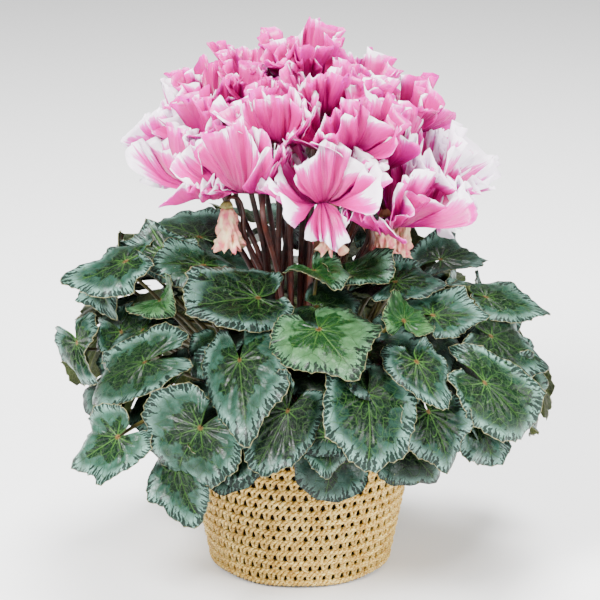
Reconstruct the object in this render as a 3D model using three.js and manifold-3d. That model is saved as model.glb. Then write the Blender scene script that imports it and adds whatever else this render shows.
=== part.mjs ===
// Potted cyclamen in a woven cover pot, in millimetres, +Z up, origin at the centre of the pot's base.
// A flat-topped corm stands in the soil of a nursery pot inside the woven cover. Leaf stalks rise from
// shoots round its shoulder and carry a skirt of heart-shaped leaves; flower stalks rise from shoots
// near its middle, bend over at the top and carry frilled blooms whose petals turn back and outward.
import * as THREE from "three";
import { mergeVertices } from "three/addons/utils/BufferGeometryUtils.js";
import Module from "manifold-3d";

const wasm = await Module();
wasm.setup();

// Driving dimensions
const SEAT_GAP = 0.3;
const ROUND_SIDES = 20;
const COVER = { height: 130, baseRadius: 67, rimRadius: 92, wall: 4, floor: 5, courses: 12, relief: 1.5 };
const NURSERY_POT = { height: 118, baseRadius: 54, rimRadius: 75, wall: 1.6, floor: 2, lip: 4, lipDrop: 14 };
const SOIL = { depthBelowRim: 11, clearance: 0.9, crown: 1.5 };
const CORM = { topRadius: 38, shoulderRadius: 41, height: 26, sunk: 14, taper: 9, edge: 4 };
const LEAF_SHOOT = { ring: 34, radius: 6, height: 7, sectors: 16, spread: 2.9 };
const FLOWER_SHOOT = { ring: 20, radius: 8, height: 8, sectors: 7, spread: 2.7 };
const PETIOLE = { radius: 1.8, sides: 3, steps: 4, seat: 6, overRim: 26, run: 22, arch: 10 };
const STALK = { radius: 2.8, sides: 3, steps: 8, reach: 18, hook: 23, below: 14, pull: 0.55 };
const CALYX = { radius: 4.3, height: 5, sides: 4 };
// The foliage dome: every leaf is laid over an ellipsoid with this centre height and these half axes.
const DOME = { centre: 128, across: 176, up: 132 };
const BLADE = { thickness: 0.8, clearance: 4.4, innerCost: 1.3, proportion: 1.5, sinus: 0.34, tooth: 0.03 };
const INNER_POINTS = 6;
const MARGIN_POINTS = 13;
const PETAL = { thickness: 0.8, length: 55, halfWidth: 25, ruffle: 3.4, spacing: 61 };
const MOUTH = { radius: 4.4, rise: -1, depth: 7.5, petalRoot: 20 };
// How far each of the five petals opens and how broad it is: the inner two stand up behind the hook.
const OPENING = [0.1, 1.05, 0.25, 1.05, 0.1];
const BREADTH = [0.5, 0.8, 0.65, 0.8, 0.5];
// Rows of points on a petal: how far out they lie and how many they are.
const PETAL_ROWS = [[0.5, 3], [1, 6]];
// The flower head: rings of blooms, from the rim up. Each has its count, radius and height.
const HEAD = { shift: 6, skew: -0.13, stagger: 8, cellDepth: 19, cellMargin: 1.5, softness: 12 };
const BLOOM_RINGS = [
  { count: 11, radius: 85, height: 298, lean: -4, turn: 4, size: 1 },
  { count: 9, radius: 64, height: 325, lean: -8, turn: 18.5, size: 0.88 },
  { count: 6, radius: 37, height: 347, lean: -6, turn: 12, size: 0.88 },
  { count: 1, radius: 3, height: 362, lean: 4, turn: 245, size: 0.95 },
];
// Blooms whose outer petal hangs down instead of turning up.
const HANGING = [0, 2, 5, 8];
// Blooms past their best, hanging under the head: azimuth, distance from the axis and height.
const FADED_BLOOMS = [
  [-50, 76, 282],
  [17, 56, 281],
  [54, 69, 272],
  [84, 70, 263],
  [147, 72, 268],
];
const FADED = { reach: 14, bend: 0.65, sides: 7, crumple: 0.16, length: 22 };

// Leaves seen from the front and sides: azimuth from the front, elevation on the dome and heading of
// the tip from straight down (degrees), length from stalk to tip and width (mm), how steeply the halves
// fold up along the midrib, and how steeply the tip stands off the dome.
const FRONT_LEAVES = [
  [6, 45, 26, 46, 80, 0.05, 0.3],
  [-17, 35, 18, 64, 70, -0.12, 0.3],
  [-24, 14, -26, 48, 74, 0.05, 0.25],
  [17, 25, -10, 56, 62, -0.06, 0.28],
  [-3, 21, -27, 54, 56, 0.06, 0.25],
  [33, 32, -4, 36, 46, 0.06, 0.35],
  [-17, 55, -60, 48, 64, 0.25, 0.35],
  [66, 31, 45, 52, 62, -0.08, 0.3],
  [50, 21, 30, 56, 62, -0.08, 0.25],
  [45, 57, 76, 44, 42, -0.1, 0.35],
  [50, 44, 66, 38, 42, 0.15, 0.35],
  [96, 53, 50, 46, 44, 0.1, 0.5],
  [78, 40, 40, 44, 46, 0.1, 0.3],
  [34, 44, 150, 28, 36, 0.2, 0.1],
  [-57, 47, 76, 28, 36, 0.3, 0.3],
  [-45, 29, -52, 70, 56, -0.15, 0.3],
  [8, 66, 14, 36, 44, 0.35, 0.4],
  [27, 65, 40, 34, 42, 0.4, 0.5],
  [-60, 37, 28, 44, 46, -0.2, 0.3],
  [-31, 0, 30, 46, 54, 0.1, 0.3],
  [33, 17, 6, 44, 58, -0.05, 0.25],
  [-52, 61, -50, 34, 48, -0.1, 0.4],
  [-86, 57, -100, 15, 46, 0, 1.8],
  [-70, 50, -30, 40, 50, 0, 0.3],
  [-93, 43, 56, 42, 54, 0.1, -0.3],
  [-78, 31, 70, 44, 54, 0.1, -0.5],
  [-90, 19, 60, 42, 56, 0.1, -0.45],
  [-42, 8, -50, 40, 46, 0.1, 0.3],
  [90, 13, -16, 46, 56, 0.1, 0.25],
  [68, 13, 20, 44, 54, 0.1, 0.35],
  [7, 13, 2, 30, 44, 0, 0.1],
  [94, 34, -60, 44, 54, 0.1, -0.45],
  [116, 52, 170, 44, 50, 0.2, 0.95],
  [21, 48, 30, 44, 50, 0.1, 0.2],
  [50, 9, 14, 40, 50, 0.05, 0.3],
];
// Leaves round the back: rows at one elevation with their azimuths spread evenly, then shifted a little.
const BACK_ROWS = [
  { elevation: 59, from: 132, to: 262, count: 3, length: 46, rise: 0.7 },
  { elevation: 45, from: 126, to: 258, count: 5, length: 50, rise: 0.5 },
  { elevation: 30, from: 108, to: 256, count: 6, length: 54, rise: 0.35 },
  { elevation: 14, from: 100, to: 260, count: 6, length: 54, rise: 0.3 },
  { elevation: 0, from: 108, to: 250, count: 5, length: 50, rise: 0.3 },
];

const MATERIALS = {
  cover: new THREE.MeshStandardMaterial({ color: "#c9ad72", roughness: 0.85, metalness: 0 }),
  plastic: new THREE.MeshStandardMaterial({ color: "#5b4636", roughness: 0.55, metalness: 0 }),
  soil: new THREE.MeshStandardMaterial({ color: "#2c211a", roughness: 1, metalness: 0 }),
  corm: new THREE.MeshStandardMaterial({ color: "#5a4030", roughness: 0.9, metalness: 0 }),
  leaf: new THREE.MeshStandardMaterial({ color: "#5f8a6c", roughness: 0.5, metalness: 0 }),
  stalk: new THREE.MeshStandardMaterial({ color: "#5a3324", roughness: 0.5, metalness: 0 }),
  petal: new THREE.MeshStandardMaterial({ color: "#ee7db4", roughness: 0.6, metalness: 0 }),
  faded: new THREE.MeshStandardMaterial({ color: "#e9b7a2", roughness: 0.7, metalness: 0 }),
};

const part = new THREE.Group();
const radians = THREE.MathUtils.degToRad;
const vector = (x, y, z) => new THREE.Vector3(x, y, z);

// About one full turn, for the phase of a wave
const TURN = 6.28;

// A repeatable draw from 0 to 1 for one item and one use.
function draw(item, use) {
  const wave = Math.sin(item * 12.9898 + use * 78.233) * 43758.5453;
  return wave - Math.floor(wave);
}

function solid(geometry) {
  const bare = geometry.clone();
  bare.deleteAttribute("normal");
  bare.deleteAttribute("uv");
  const merged = mergeVertices(bare, 1e-4);
  return new wasm.Manifold(
    new wasm.Mesh({
      numProp: 3,
      vertProperties: merged.attributes.position.array,
      triVerts: new Uint32Array(merged.index.array),
    }),
  );
}

function addNode(name, shape, material) {
  const mesh = shape.getMesh();
  const geometry = new THREE.BufferGeometry();
  geometry.setAttribute("position", new THREE.BufferAttribute(mesh.vertProperties, 3));
  geometry.setIndex(new THREE.BufferAttribute(mesh.triVerts, 1));
  geometry.computeVertexNormals();
  const node = new THREE.Mesh(geometry, material);
  node.name = name;
  part.add(node);
}

function lathe(profile, sides) {
  const points = profile.map(([radius, height]) => new THREE.Vector2(radius, height));
  return new THREE.LatheGeometry(points, sides).rotateX(Math.PI / 2);
}

// A rod of even thickness along a smooth curve through the given points.
function rod(points, radius, sides, steps) {
  const outline = new THREE.Shape();
  for (let i = 0; i < sides; i++) {
    const angle = (i / sides) * Math.PI * 2;
    outline[i ? "lineTo" : "moveTo"](radius * Math.cos(angle), radius * Math.sin(angle));
  }
  const path = new THREE.CatmullRomCurve3(points, false, "centripetal");
  return solid(new THREE.ExtrudeGeometry(outline, { steps, extrudePath: path, curveSegments: 1 }));
}

// The triangles between rows of points that run from the root outward, where each row may be longer
// than the last. A row is given by the numbers of its points.
function rowFaces(rows) {
  const faces = [];
  for (let r = 0; r + 1 < rows.length; r++) {
    const [inner, outer] = [rows[r], rows[r + 1]];
    let [i, o] = [0, 0];
    while (i < inner.length - 1 || o < outer.length - 1) {
      const innerShare = (i + 0.5) / Math.max(inner.length - 1, 1);
      const outerShare = (o + 0.5) / (outer.length - 1);
      const stepOuter = i === inner.length - 1 || (o < outer.length - 1 && outerShare <= innerShare);
      faces.push([inner[i], outer[o], stepOuter ? outer[o + 1] : inner[i + 1]]);
      if (stepOuter) o++;
      else i++;
    }
  }
  return faces;
}

// Gives a middle surface its thickness. Both faces are split into the same triangles.
function thickened(points, faces, thickness) {
  const normals = points.map(() => vector(0, 0, 0));
  for (const [a, b, c] of faces) {
    const normal = points[b].clone().sub(points[a]).cross(points[c].clone().sub(points[a]));
    for (const k of [a, b, c]) normals[k].add(normal);
  }
  const position = [];
  for (const side of [thickness / 2, -thickness / 2]) {
    points.forEach((point, k) => {
      position.push(...point.clone().addScaledVector(normals[k].normalize(), side).toArray());
    });
  }
  const edges = new Map();
  for (const face of faces) {
    face.forEach((a, k) => {
      const b = face[(k + 1) % 3];
      if (!edges.delete(b + "_" + a)) edges.set(a + "_" + b, [a, b]);
    });
  }
  const count = points.length;
  const index = faces.flatMap(([a, b, c]) => [a, b, c, c + count, b + count, a + count]);
  for (const [a, b] of edges.values()) index.push(b, a, a + count, b, a + count, b + count);
  const geometry = new THREE.BufferGeometry();
  geometry.setAttribute("position", new THREE.Float32BufferAttribute(position, 3));
  geometry.setIndex(index);
  return solid(geometry);
}

// A blade made of rows of points, from its root outward.
function blade(rows, thickness) {
  let next = 0;
  return thickened(rows.flat(), rowFaces(rows.map((row) => row.map(() => next++))), thickness);
}

function joined(shapes) {
  return wasm.Manifold.union(shapes);
}

// The woven cover pot: a tapered cup whose outside steps in and out with each woven course, and whose
// crests stand up in turn round each course like stitches.
function addCoverPot() {
  const { height, baseRadius, rimRadius, wall, floor, courses, relief } = COVER;
  const outerAt = (z) => baseRadius + ((rimRadius - baseRadius) * z) / height;
  const pitch = height / courses;
  const profile = [[0, 0], [baseRadius - 1, 0]];
  for (let k = 0; k < courses; k++) {
    profile.push([outerAt((k + 0.5) * pitch) + relief, (k + 0.5) * pitch]);
    if (k < courses - 1) profile.push([outerAt((k + 1) * pitch) - relief / 2, (k + 1) * pitch]);
  }
  profile.push([rimRadius - 0.5, height], [rimRadius - wall, height], [baseRadius - wall, floor], [0, floor]);
  const geometry = lathe(profile, ROUND_SIDES);
  const position = geometry.attributes.position;
  for (let i = 0; i < position.count; i++) {
    const [x, y, z] = [position.getX(i), position.getY(i), position.getZ(i)];
    const radius = Math.hypot(x, y);
    const course = z / pitch - 0.5;
    if (radius < outerAt(z) + relief / 2 || Math.abs(course - Math.round(course)) > 0.01) continue;
    const stitch = Math.round((Math.atan2(y, x) / (2 * Math.PI)) * ROUND_SIDES) + Math.round(course);
    const grown = (radius + (stitch % 2 ? -0.5 : 0.5) * relief) / radius;
    position.setXYZ(i, x * grown, y * grown, z);
  }
  addNode("woven_cover_pot", solid(geometry), MATERIALS.cover);
}

function addNurseryPot() {
  const { height, baseRadius, rimRadius, wall, floor, lip, lipDrop } = NURSERY_POT;
  const bottom = COVER.floor + SEAT_GAP;
  const top = bottom + height;
  addNode("nursery_pot", solid(lathe([
    [0, bottom], [baseRadius, bottom], [rimRadius - lip, top - lipDrop], [rimRadius, top - lipDrop],
    [rimRadius, top], [rimRadius - lip - wall, top], [baseRadius - wall, bottom + floor], [0, bottom + floor],
  ], ROUND_SIDES)), MATERIALS.plastic);
}

const soilTop = COVER.floor + SEAT_GAP + NURSERY_POT.height - SOIL.depthBelowRim;
const cormTop = soilTop + CORM.height - CORM.sunk;

// The potting soil, with a round hollow in which the corm sits.
function addSoil() {
  const { height, baseRadius, rimRadius, wall, floor, lip } = NURSERY_POT;
  const potFloor = COVER.floor + SEAT_GAP + floor;
  const flare = (rimRadius - lip - baseRadius) / (height - floor);
  const inner = (z) => baseRadius - wall + flare * (z - potFloor);
  const clear = SOIL.clearance;
  const hollow = CORM.shoulderRadius + SEAT_GAP;
  const hollowFloor = cormTop - CORM.height - SEAT_GAP;
  addNode("potting_soil", solid(lathe([
    [0, potFloor + SEAT_GAP], [inner(potFloor) - clear - 1, potFloor + SEAT_GAP],
    [inner(soilTop) - clear, soilTop - 2], [(inner(soilTop) + hollow) / 2, soilTop + SOIL.crown],
    [hollow, soilTop], [hollow - 6, hollowFloor], [0, hollowFloor],
  ], ROUND_SIDES)), MATERIALS.soil);
}

function addCorm() {
  const { topRadius, shoulderRadius, height, taper, edge } = CORM;
  addNode("corm", solid(lathe([
    [0, cormTop - height], [shoulderRadius - taper, cormTop - height],
    [shoulderRadius - 1, cormTop - height * 0.5], [shoulderRadius - 0.5, cormTop - edge],
    [topRadius, cormTop], [0, cormTop],
  ], ROUND_SIDES)), MATERIALS.corm);
}

const outward = (azimuth) => vector(Math.sin(radians(azimuth)), -Math.cos(radians(azimuth)), 0);
const fullCircle = (azimuth) => THREE.MathUtils.euclideanModulo(azimuth, 360);
const sectorOf = (azimuth, sectors) => Math.floor(fullCircle(azimuth) / (360 / sectors));

// The items of each sector, in order round the plant, with the foot of each one's stalk.
function bySector(items, { ring, height, sectors, spread }) {
  const groups = Array.from({ length: sectors }, () => []);
  for (const item of items) groups[sectorOf(item.azimuth, sectors)].push(item);
  groups.forEach((group, sector) => {
    const azimuth = ((sector + 0.5) / sectors) * 360;
    group.sort((a, b) => fullCircle(a.azimuth) - fullCircle(b.azimuth));
    group.forEach((item, k) => {
      const sideways = outward(azimuth + 90).multiplyScalar(spread * (k - (group.length - 1) / 2));
      item.foot = outward(azimuth).multiplyScalar(ring).add(sideways).setZ(cormTop + SEAT_GAP + height * 0.6);
    });
  });
  return groups;
}

// A short woody shoot standing on the corm, from which several stalks rise.
function shoot({ ring, radius, height, sectors }, sector) {
  const block = new THREE.CylinderGeometry(radius * 0.75, radius, height, 6);
  block.rotateX(Math.PI / 2);
  block.translate(...outward(((sector + 0.5) / sectors) * 360).multiplyScalar(ring).toArray());
  block.translate(0, 0, cormTop + SEAT_GAP + height / 2);
  return solid(block);
}

// Leaves

const domeCentre = vector(0, 0, DOME.centre);
const domeLevel = (v) => Math.hypot(v.x / DOME.across, v.y / DOME.across, v.z / DOME.up);

function leafFrame(leaf) {
  const { azimuth, elevation, heading } = leaf;
  const [out, rise] = [outward(azimuth), radians(elevation)];
  const centre = out.clone().multiplyScalar(DOME.across * Math.cos(rise));
  centre.z = DOME.centre + DOME.up * Math.sin(rise);
  const east = vector(Math.cos(radians(azimuth)), Math.sin(radians(azimuth)), 0);
  const down = out.clone().multiplyScalar(DOME.across * Math.sin(rise)).setZ(-DOME.up * Math.cos(rise));
  down.normalize();
  const along = down.clone().multiplyScalar(Math.cos(radians(heading)));
  along.addScaledVector(east, Math.sin(radians(heading)));
  const normal = vector().crossVectors(east, down).negate();
  const across = vector().crossVectors(normal, along).negate();
  return { ...leaf, centre, along, across, normal, level: 0 };
}

// The point of a leaf at a place in its own plane, lifted by height above the dome.
function onDome(leaf, x, y, height) {
  const flat = leaf.centre.clone().addScaledVector(leaf.across, x).addScaledVector(leaf.along, y);
  flat.sub(domeCentre);
  const surface = flat.multiplyScalar(1 / domeLevel(flat));
  return surface.addScaledVector(surface.clone().normalize(), height).add(domeCentre);
}

// Where the line from the dome's centre through a point meets a leaf's own plane.
function inLeafPlane(leaf, point) {
  const ray = point.clone().sub(domeCentre);
  const toPlane = leaf.centre.clone().sub(domeCentre);
  const share = toPlane.dot(leaf.normal) / ray.dot(leaf.normal);
  if (!(share > 0)) return null;
  const meet = ray.multiplyScalar(share).sub(toPlane);
  return [meet.dot(leaf.across), meet.dot(leaf.along)];
}

// The heart-shaped outline: distance from the stalk to the margin at an angle from the midrib, as if
// the leaf had its usual proportions.
function marginAt(leaf, angle) {
  const point = leaf.point * Math.exp(-((angle / 0.3) ** 2));
  const heart = 0.5 + (0.5 - leaf.point) * Math.cos(angle / 2) + point;
  return leaf.length * heart * (1 + 0.03 * Math.sin(5 * angle + leaf.phase));
}

// A place in the leaf's plane as its angle from the midrib and its share of the way to the margin.
function polar(leaf, x, y) {
  const angle = Math.atan2(x / leaf.narrow, y);
  return [angle, Math.hypot(x / leaf.narrow, y) / marginAt(leaf, angle)];
}
function place(leaf, angle, share) {
  const reach = share * marginAt(leaf, angle);
  return [leaf.narrow * reach * Math.sin(angle), reach * Math.cos(angle)];
}

// Height of a blade above its stalk: the tip rises over the leaves below, the halves fold, the margin waves.
function relief(leaf, x, y) {
  const [angle, reached] = polar(leaf, x, y);
  const share = Math.min(1.05, reached);
  const wave = leaf.wave * share ** 3 * Math.sin(leaf.waves * angle + leaf.phase);
  const droop = -leaf.droop * leaf.length * Math.max(0, y / leaf.length - 0.45) ** 2;
  return leaf.rise * y + leaf.fold * Math.abs(x) * Math.min(1, share * 1.5) + wave + droop;
}

function allLeaves() {
  const names = ["azimuth", "elevation", "heading", "length", "width", "fold", "rise"];
  const rows = FRONT_LEAVES.map((values) => Object.fromEntries(values.map((value, k) => [names[k], value])));
  for (const { elevation, from, to, count, length, rise } of BACK_ROWS) {
    for (let k = 0; k < count; k++) {
      const item = rows.length;
      rows.push({
        azimuth: from + ((k + 0.5) * (to - from)) / count + 6 * (draw(item, 1) - 0.5),
        elevation: elevation + 6 * (draw(item, 2) - 0.5),
        heading: 50 * (draw(item, 3) - 0.5),
        length: length * (0.9 + 0.2 * draw(item, 4)),
        width: length * (1.25 + 0.3 * draw(item, 11)),
        fold: 0.3 * (draw(item, 5) - 0.5),
        rise: rise * (0.8 + 0.4 * draw(item, 12)),
      });
    }
  }
  return rows.map((row, item) => leafFrame({
    ...row,
    item,
    narrow: row.width / (BLADE.proportion * row.length),
    point: 0.1 + 0.1 * draw(item, 6),
    phase: TURN * draw(item, 7),
    wave: 1.6 + 2.2 * draw(item, 8),
    waves: 4 + Math.floor(3 * draw(item, 9)),
    droop: 0.15 + 0.35 * draw(item, 10),
  }));
}

const SAMPLE_ANGLES = 18;
const SAMPLE_SHARES = [0.4, 0.75, 1];
function samples(leaf) {
  const places = [[0, 0]];
  for (let k = 0; k < SAMPLE_ANGLES; k++) {
    const angle = ((k + 0.5) / SAMPLE_ANGLES) * 2 * Math.PI - Math.PI;
    for (const share of SAMPLE_SHARES) places.push(place(leaf, angle, share));
  }
  return places.map(([x, y]) => ({ x, y, point: onDome(leaf, x, y, 0) }));
}

const covers = (leaf, [u, v], spare) => polar(leaf, u, v)[1] < 1 + spare / leaf.length;

// The least and the greatest height of one leaf above another, over the ground that they share.
function heightsOver(leaf, other) {
  let [least, greatest] = [Infinity, -Infinity];
  const compare = (from, onto, sign) => {
    for (const { x, y, point } of from.samples) {
      const meet = inLeafPlane(onto, point);
      if (!meet || !covers(onto, meet, 3)) continue;
      const height = sign * (relief(from, x, y) - relief(onto, ...meet));
      least = Math.min(least, height);
      greatest = Math.max(greatest, height);
    }
  };
  compare(leaf, other, 1);
  compare(other, leaf, -1);
  return [least, greatest];
}

const overBase = (leaf, other) => {
  const meet = inLeafPlane(leaf, other.centre);
  return meet !== null && covers(leaf, meet, 4);
};

// The levels that another leaf keeps a leaf from. A leaf can't lie outside one that its own stalk would
// have to pass through, nor inside one whose stalk would have to pass through it.
function barred(leaf, other) {
  const [least, greatest] = heightsOver(leaf, other);
  const from = overBase(leaf, other) ? -Infinity : other.level - BLADE.clearance - greatest;
  const to = overBase(other, leaf) ? Infinity : other.level + BLADE.clearance - least;
  return least === Infinity && from > -Infinity && to < Infinity ? null : [from, to];
}

// The leaves are laid in turn, each at the free level nearest to the dome, and one that has no free
// level is left out.
function layLeaves() {
  const leaves = allLeaves();
  for (const leaf of leaves) leaf.samples = samples(leaf);
  const laid = [];
  for (const leaf of leaves) {
    const bars = laid.map((other) => barred(leaf, other)).filter(Boolean);
    const levels = [0, ...bars.flat()].filter((level) => Number.isFinite(level));
    const clear = (level) => bars.every(([from, to]) => level <= from + 1e-6 || level >= to - 1e-6);
    const free = levels.filter(clear);
    const cost = (level) => (level < 0 ? -BLADE.innerCost * level : level);
    if (!free.length) continue;
    leaf.level = free.reduce((a, b) => (cost(b) < cost(a) ? b : a));
    laid.push(leaf);
  }
  return laid;
}

function leafBlade(leaf) {
  const row = (share, count) => {
    const points = [];
    for (let k = 0; k < count; k++) {
      const angle = (k / (count - 1) - 0.5) * 2 * (Math.PI - BLADE.sinus);
      const crenate = share === 1 ? 1 + (k % 2 ? BLADE.tooth : -BLADE.tooth) : 1;
      const [x, y] = place(leaf, angle, share * crenate);
      points.push(onDome(leaf, x, y, leaf.level + relief(leaf, x, y)));
    }
    return points;
  };
  const root = [onDome(leaf, 0, 0, leaf.level)];
  return blade([root, row(0.55, INNER_POINTS), row(1, MARGIN_POINTS)], BLADE.thickness);
}

// A leaf stalk: up out of its shoot, over the pot's rim, and out to the blade from inside the dome.
function petiole(leaf) {
  const { foot } = leaf;
  const end = onDome(leaf, 0, PETIOLE.seat, leaf.level + relief(leaf, 0, PETIOLE.seat) - 0.2);
  const inside = end.clone().sub(domeCentre).normalize();
  const before = end.clone().addScaledVector(inside, -PETIOLE.run);
  const low = Math.max(0, 1 - (end.z - cormTop) / 90);
  const knee = foot.clone().lerp(before, 0.45);
  knee.z = Math.max(knee.z, cormTop + PETIOLE.overRim) + PETIOLE.arch * low;
  before.z += 0.9 * PETIOLE.arch * low * (Math.hypot(end.x, end.y) > 120 ? 1 : 0.5);
  return rod([foot, knee, before, end], PETIOLE.radius, PETIOLE.sides, PETIOLE.steps);
}

function addLeaves() {
  bySector(layLeaves(), LEAF_SHOOT).forEach((leaves, sector) => {
    const shapes = leaves.flatMap((leaf) => [leafBlade(leaf), petiole(leaf)]);
    const name = "leaf_spray_" + String(sector + 1).padStart(2, "0");
    if (leaves.length) addNode(name, joined([shoot(LEAF_SHOOT, sector), ...shapes]), MATERIALS.leaf);
  });
}

// Blooms

function allBlooms() {
  const blooms = [];
  for (const { count, radius, height, lean, turn, size } of BLOOM_RINGS) {
    for (let k = 0; k < count; k++) {
      const item = blooms.length;
      const azimuth = turn + ((k + 0.3 * (draw(item, 21) - 0.5)) * 360) / count;
      const out = outward(azimuth);
      const reach = radius + 6 * (draw(item, 22) - 0.5);
      const step = HEAD.stagger * (k % 2 ? -1 : 1);
      const level = height + step + 8 * (draw(item, 23) - 0.5);
      const hub = out.clone().multiplyScalar(reach).add(vector(HEAD.shift, 0, level));
      hub.z += HEAD.skew * hub.x;
      const tilt = radians(lean + 24 * (draw(item, 24) - 0.5));
      const sway = radians(26 * (draw(item, 26) - 0.5));
      const axis = out.clone().multiplyScalar(Math.sin(tilt)).setZ(Math.cos(tilt));
      axis.addScaledVector(vector(-out.y, out.x, 0), Math.sin(sway)).normalize();
      const side = out.clone().negate();
      side.addScaledVector(axis, -side.dot(axis)).normalize();
      const turned = vector().crossVectors(axis, side);
      const open = 0.38 + 0.42 * draw(item, 25);
      const middle = hub.clone().addScaledVector(axis, HEAD.cellDepth);
      blooms.push({ item, azimuth, hub, axis, side, turned, open, middle, size });
    }
  }
  return blooms;
}

// Bends the space round a bloom, so that no point passes the plane halfway to a neighbour. Points that
// lie one behind another stay in that order, so pressed petals don't cross.
function pressed(bloom, blooms, point) {
  for (const other of [...blooms, ...blooms]) {
    if (other === bloom) continue;
    const away = other.middle.clone().sub(bloom.middle);
    const limit = away.length() / 2 - HEAD.cellMargin;
    const soft = Math.min(HEAD.softness, limit * 0.6);
    away.normalize();
    const past = point.clone().sub(bloom.middle).dot(away) - limit + soft;
    if (past > 0) point.addScaledVector(away, soft * (1 - Math.exp(-past / soft)) - past);
  }
  return point;
}

const petalAngle = (petal) => Math.PI + radians((petal - 2) * PETAL.spacing);
function aroundHub(bloom, angle) {
  return bloom.side.clone().multiplyScalar(Math.cos(angle)).addScaledVector(bloom.turned, Math.sin(angle));
}

// The middle surface of one petal: u runs across from -1 to 1, v from the mouth to the frilled margin.
// The petals that open further lie outside the others, and all of them are drawn in where the bloom
// stands against its neighbours.
function petalPoint(bloom, blooms, petal, u, v) {
  const key = bloom.item * 5 + petal;
  const open = OPENING[petal] + 0.2 * (draw(key, 31) - 0.5) + 0.5 * (bloom.open - 0.6);
  const length = PETAL.length * bloom.size * (0.94 + 0.12 * draw(key, 32));
  const hangs = petal === 2 && HANGING.includes(bloom.item);
  const standing = [length * (0.38 + 0.5 * open), length * (0.98 - 0.42 * open)];
  const end = hangs ? [length * 0.55, -length * 0.62] : standing;
  const bend = hangs ? [length * 0.42, 2] : [length * (0.3 + 0.12 * open), -2];
  const t = v * (1 - 0.16 * u * u);
  const out = MOUTH.radius * (1 - t) ** 2 + bend[0] * 2 * t * (1 - t) + end[0] * t * t;
  const up = MOUTH.rise * (1 - t) ** 2 + bend[1] * 2 * t * (1 - t) + end[1] * t * t;
  const slope = new THREE.Vector2(
    2 * (1 - t) * (bend[0] - MOUTH.radius) + 2 * t * (end[0] - bend[0]),
    2 * (1 - t) * (bend[1] - MOUTH.rise) + 2 * t * (end[1] - bend[1]),
  ).normalize();
  const fan = 0.08 + 0.92 * Math.sin((Math.PI / 2) * Math.min(1, t * 1.15) ** 1.7);
  const half = PETAL.halfWidth * bloom.size * BREADTH[petal] * fan;
  const radial = aroundHub(bloom, petalAngle(petal) + (u * half) / out);
  const depth = PETAL.ruffle * (0.7 + 0.6 * draw(key, 34)) * (1 - 0.6 * Math.abs(u) ** 3);
  const ruffle = depth * v * v * Math.cos(3 * Math.PI * u + 1.2 * (draw(key, 33) - 0.5));
  const across = out - slope.y * ruffle;
  const along = up + slope.x * ruffle;
  const point = bloom.hub.clone().addScaledVector(radial, across).addScaledVector(bloom.axis, along);
  return pressed(bloom, blooms, point);
}

// A bloom is one thin skin: a short throat from its top to the mouth, and five petals turned back from it.
function bloomShape(bloom, blooms) {
  const points = [bloom.hub.clone().addScaledVector(bloom.axis, MOUTH.rise + MOUTH.depth)];
  const ring = [];
  for (let petal = 0; petal < 5; petal++) {
    for (const side of [-1, 1]) {
      const radial = aroundHub(bloom, petalAngle(petal) + side * radians(MOUTH.petalRoot));
      ring.push(points.length);
      const root = bloom.hub.clone().addScaledVector(radial, MOUTH.radius);
      points.push(root.addScaledVector(bloom.axis, MOUTH.rise));
    }
  }
  const faces = ring.map((number, k) => [0, number, ring[(k + 1) % ring.length]]);
  for (let petal = 0; petal < 5; petal++) {
    const rows = [[ring[2 * petal], ring[2 * petal + 1]]];
    for (const [v, count] of PETAL_ROWS) {
      const row = [];
      for (let k = 0; k < count; k++) {
        row.push(points.length);
        points.push(petalPoint(bloom, blooms, petal, (2 * k) / (count - 1) - 1, v));
      }
      rows.push(row);
    }
    faces.push(...rowFaces(rows));
  }
  return thickened(points, faces, PETAL.thickness);
}

function fadedBlooms() {
  return FADED_BLOOMS.map(([azimuth, distance, height], item) => {
    const out = outward(azimuth);
    const tilt = radians(16 * draw(item, 41));
    const axis = out.clone().multiplyScalar(Math.sin(tilt)).setZ(Math.cos(tilt));
    const side = out.clone().negate();
    side.addScaledVector(axis, -side.dot(axis)).normalize();
    const hub = out.clone().multiplyScalar(distance).add(vector(HEAD.shift, 0, height));
    return { item, azimuth, hub, axis, side, reach: FADED.reach, bend: FADED.bend };
  });
}

// A faded bloom: its petals have closed again and hang crumpled below the calyx.
function fadedShape(bloom) {
  const top = MOUTH.rise + MOUTH.depth + PETAL.thickness;
  const geometry = lathe([
    [0, 5 - FADED.length], [6, -FADED.length], [9, 7 - FADED.length], [8, -7], [6.5, 0], [3.4, top], [0, top],
  ], FADED.sides);
  const position = geometry.attributes.position;
  for (let i = 0; i < position.count; i++) {
    const [x, y, z] = [position.getX(i), position.getY(i), position.getZ(i)];
    const fold = 3 * Math.atan2(y, x) + 0.3 * z + TURN * draw(bloom.item, 42);
    const crumpled = 1 + FADED.crumple * Math.sin(fold);
    position.setXYZ(i, x * crumpled, y * crumpled, z);
  }
  geometry.applyQuaternion(new THREE.Quaternion().setFromUnitVectors(vector(0, 0, 1), bloom.axis));
  return solid(geometry.translate(...bloom.hub.toArray()));
}

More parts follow.
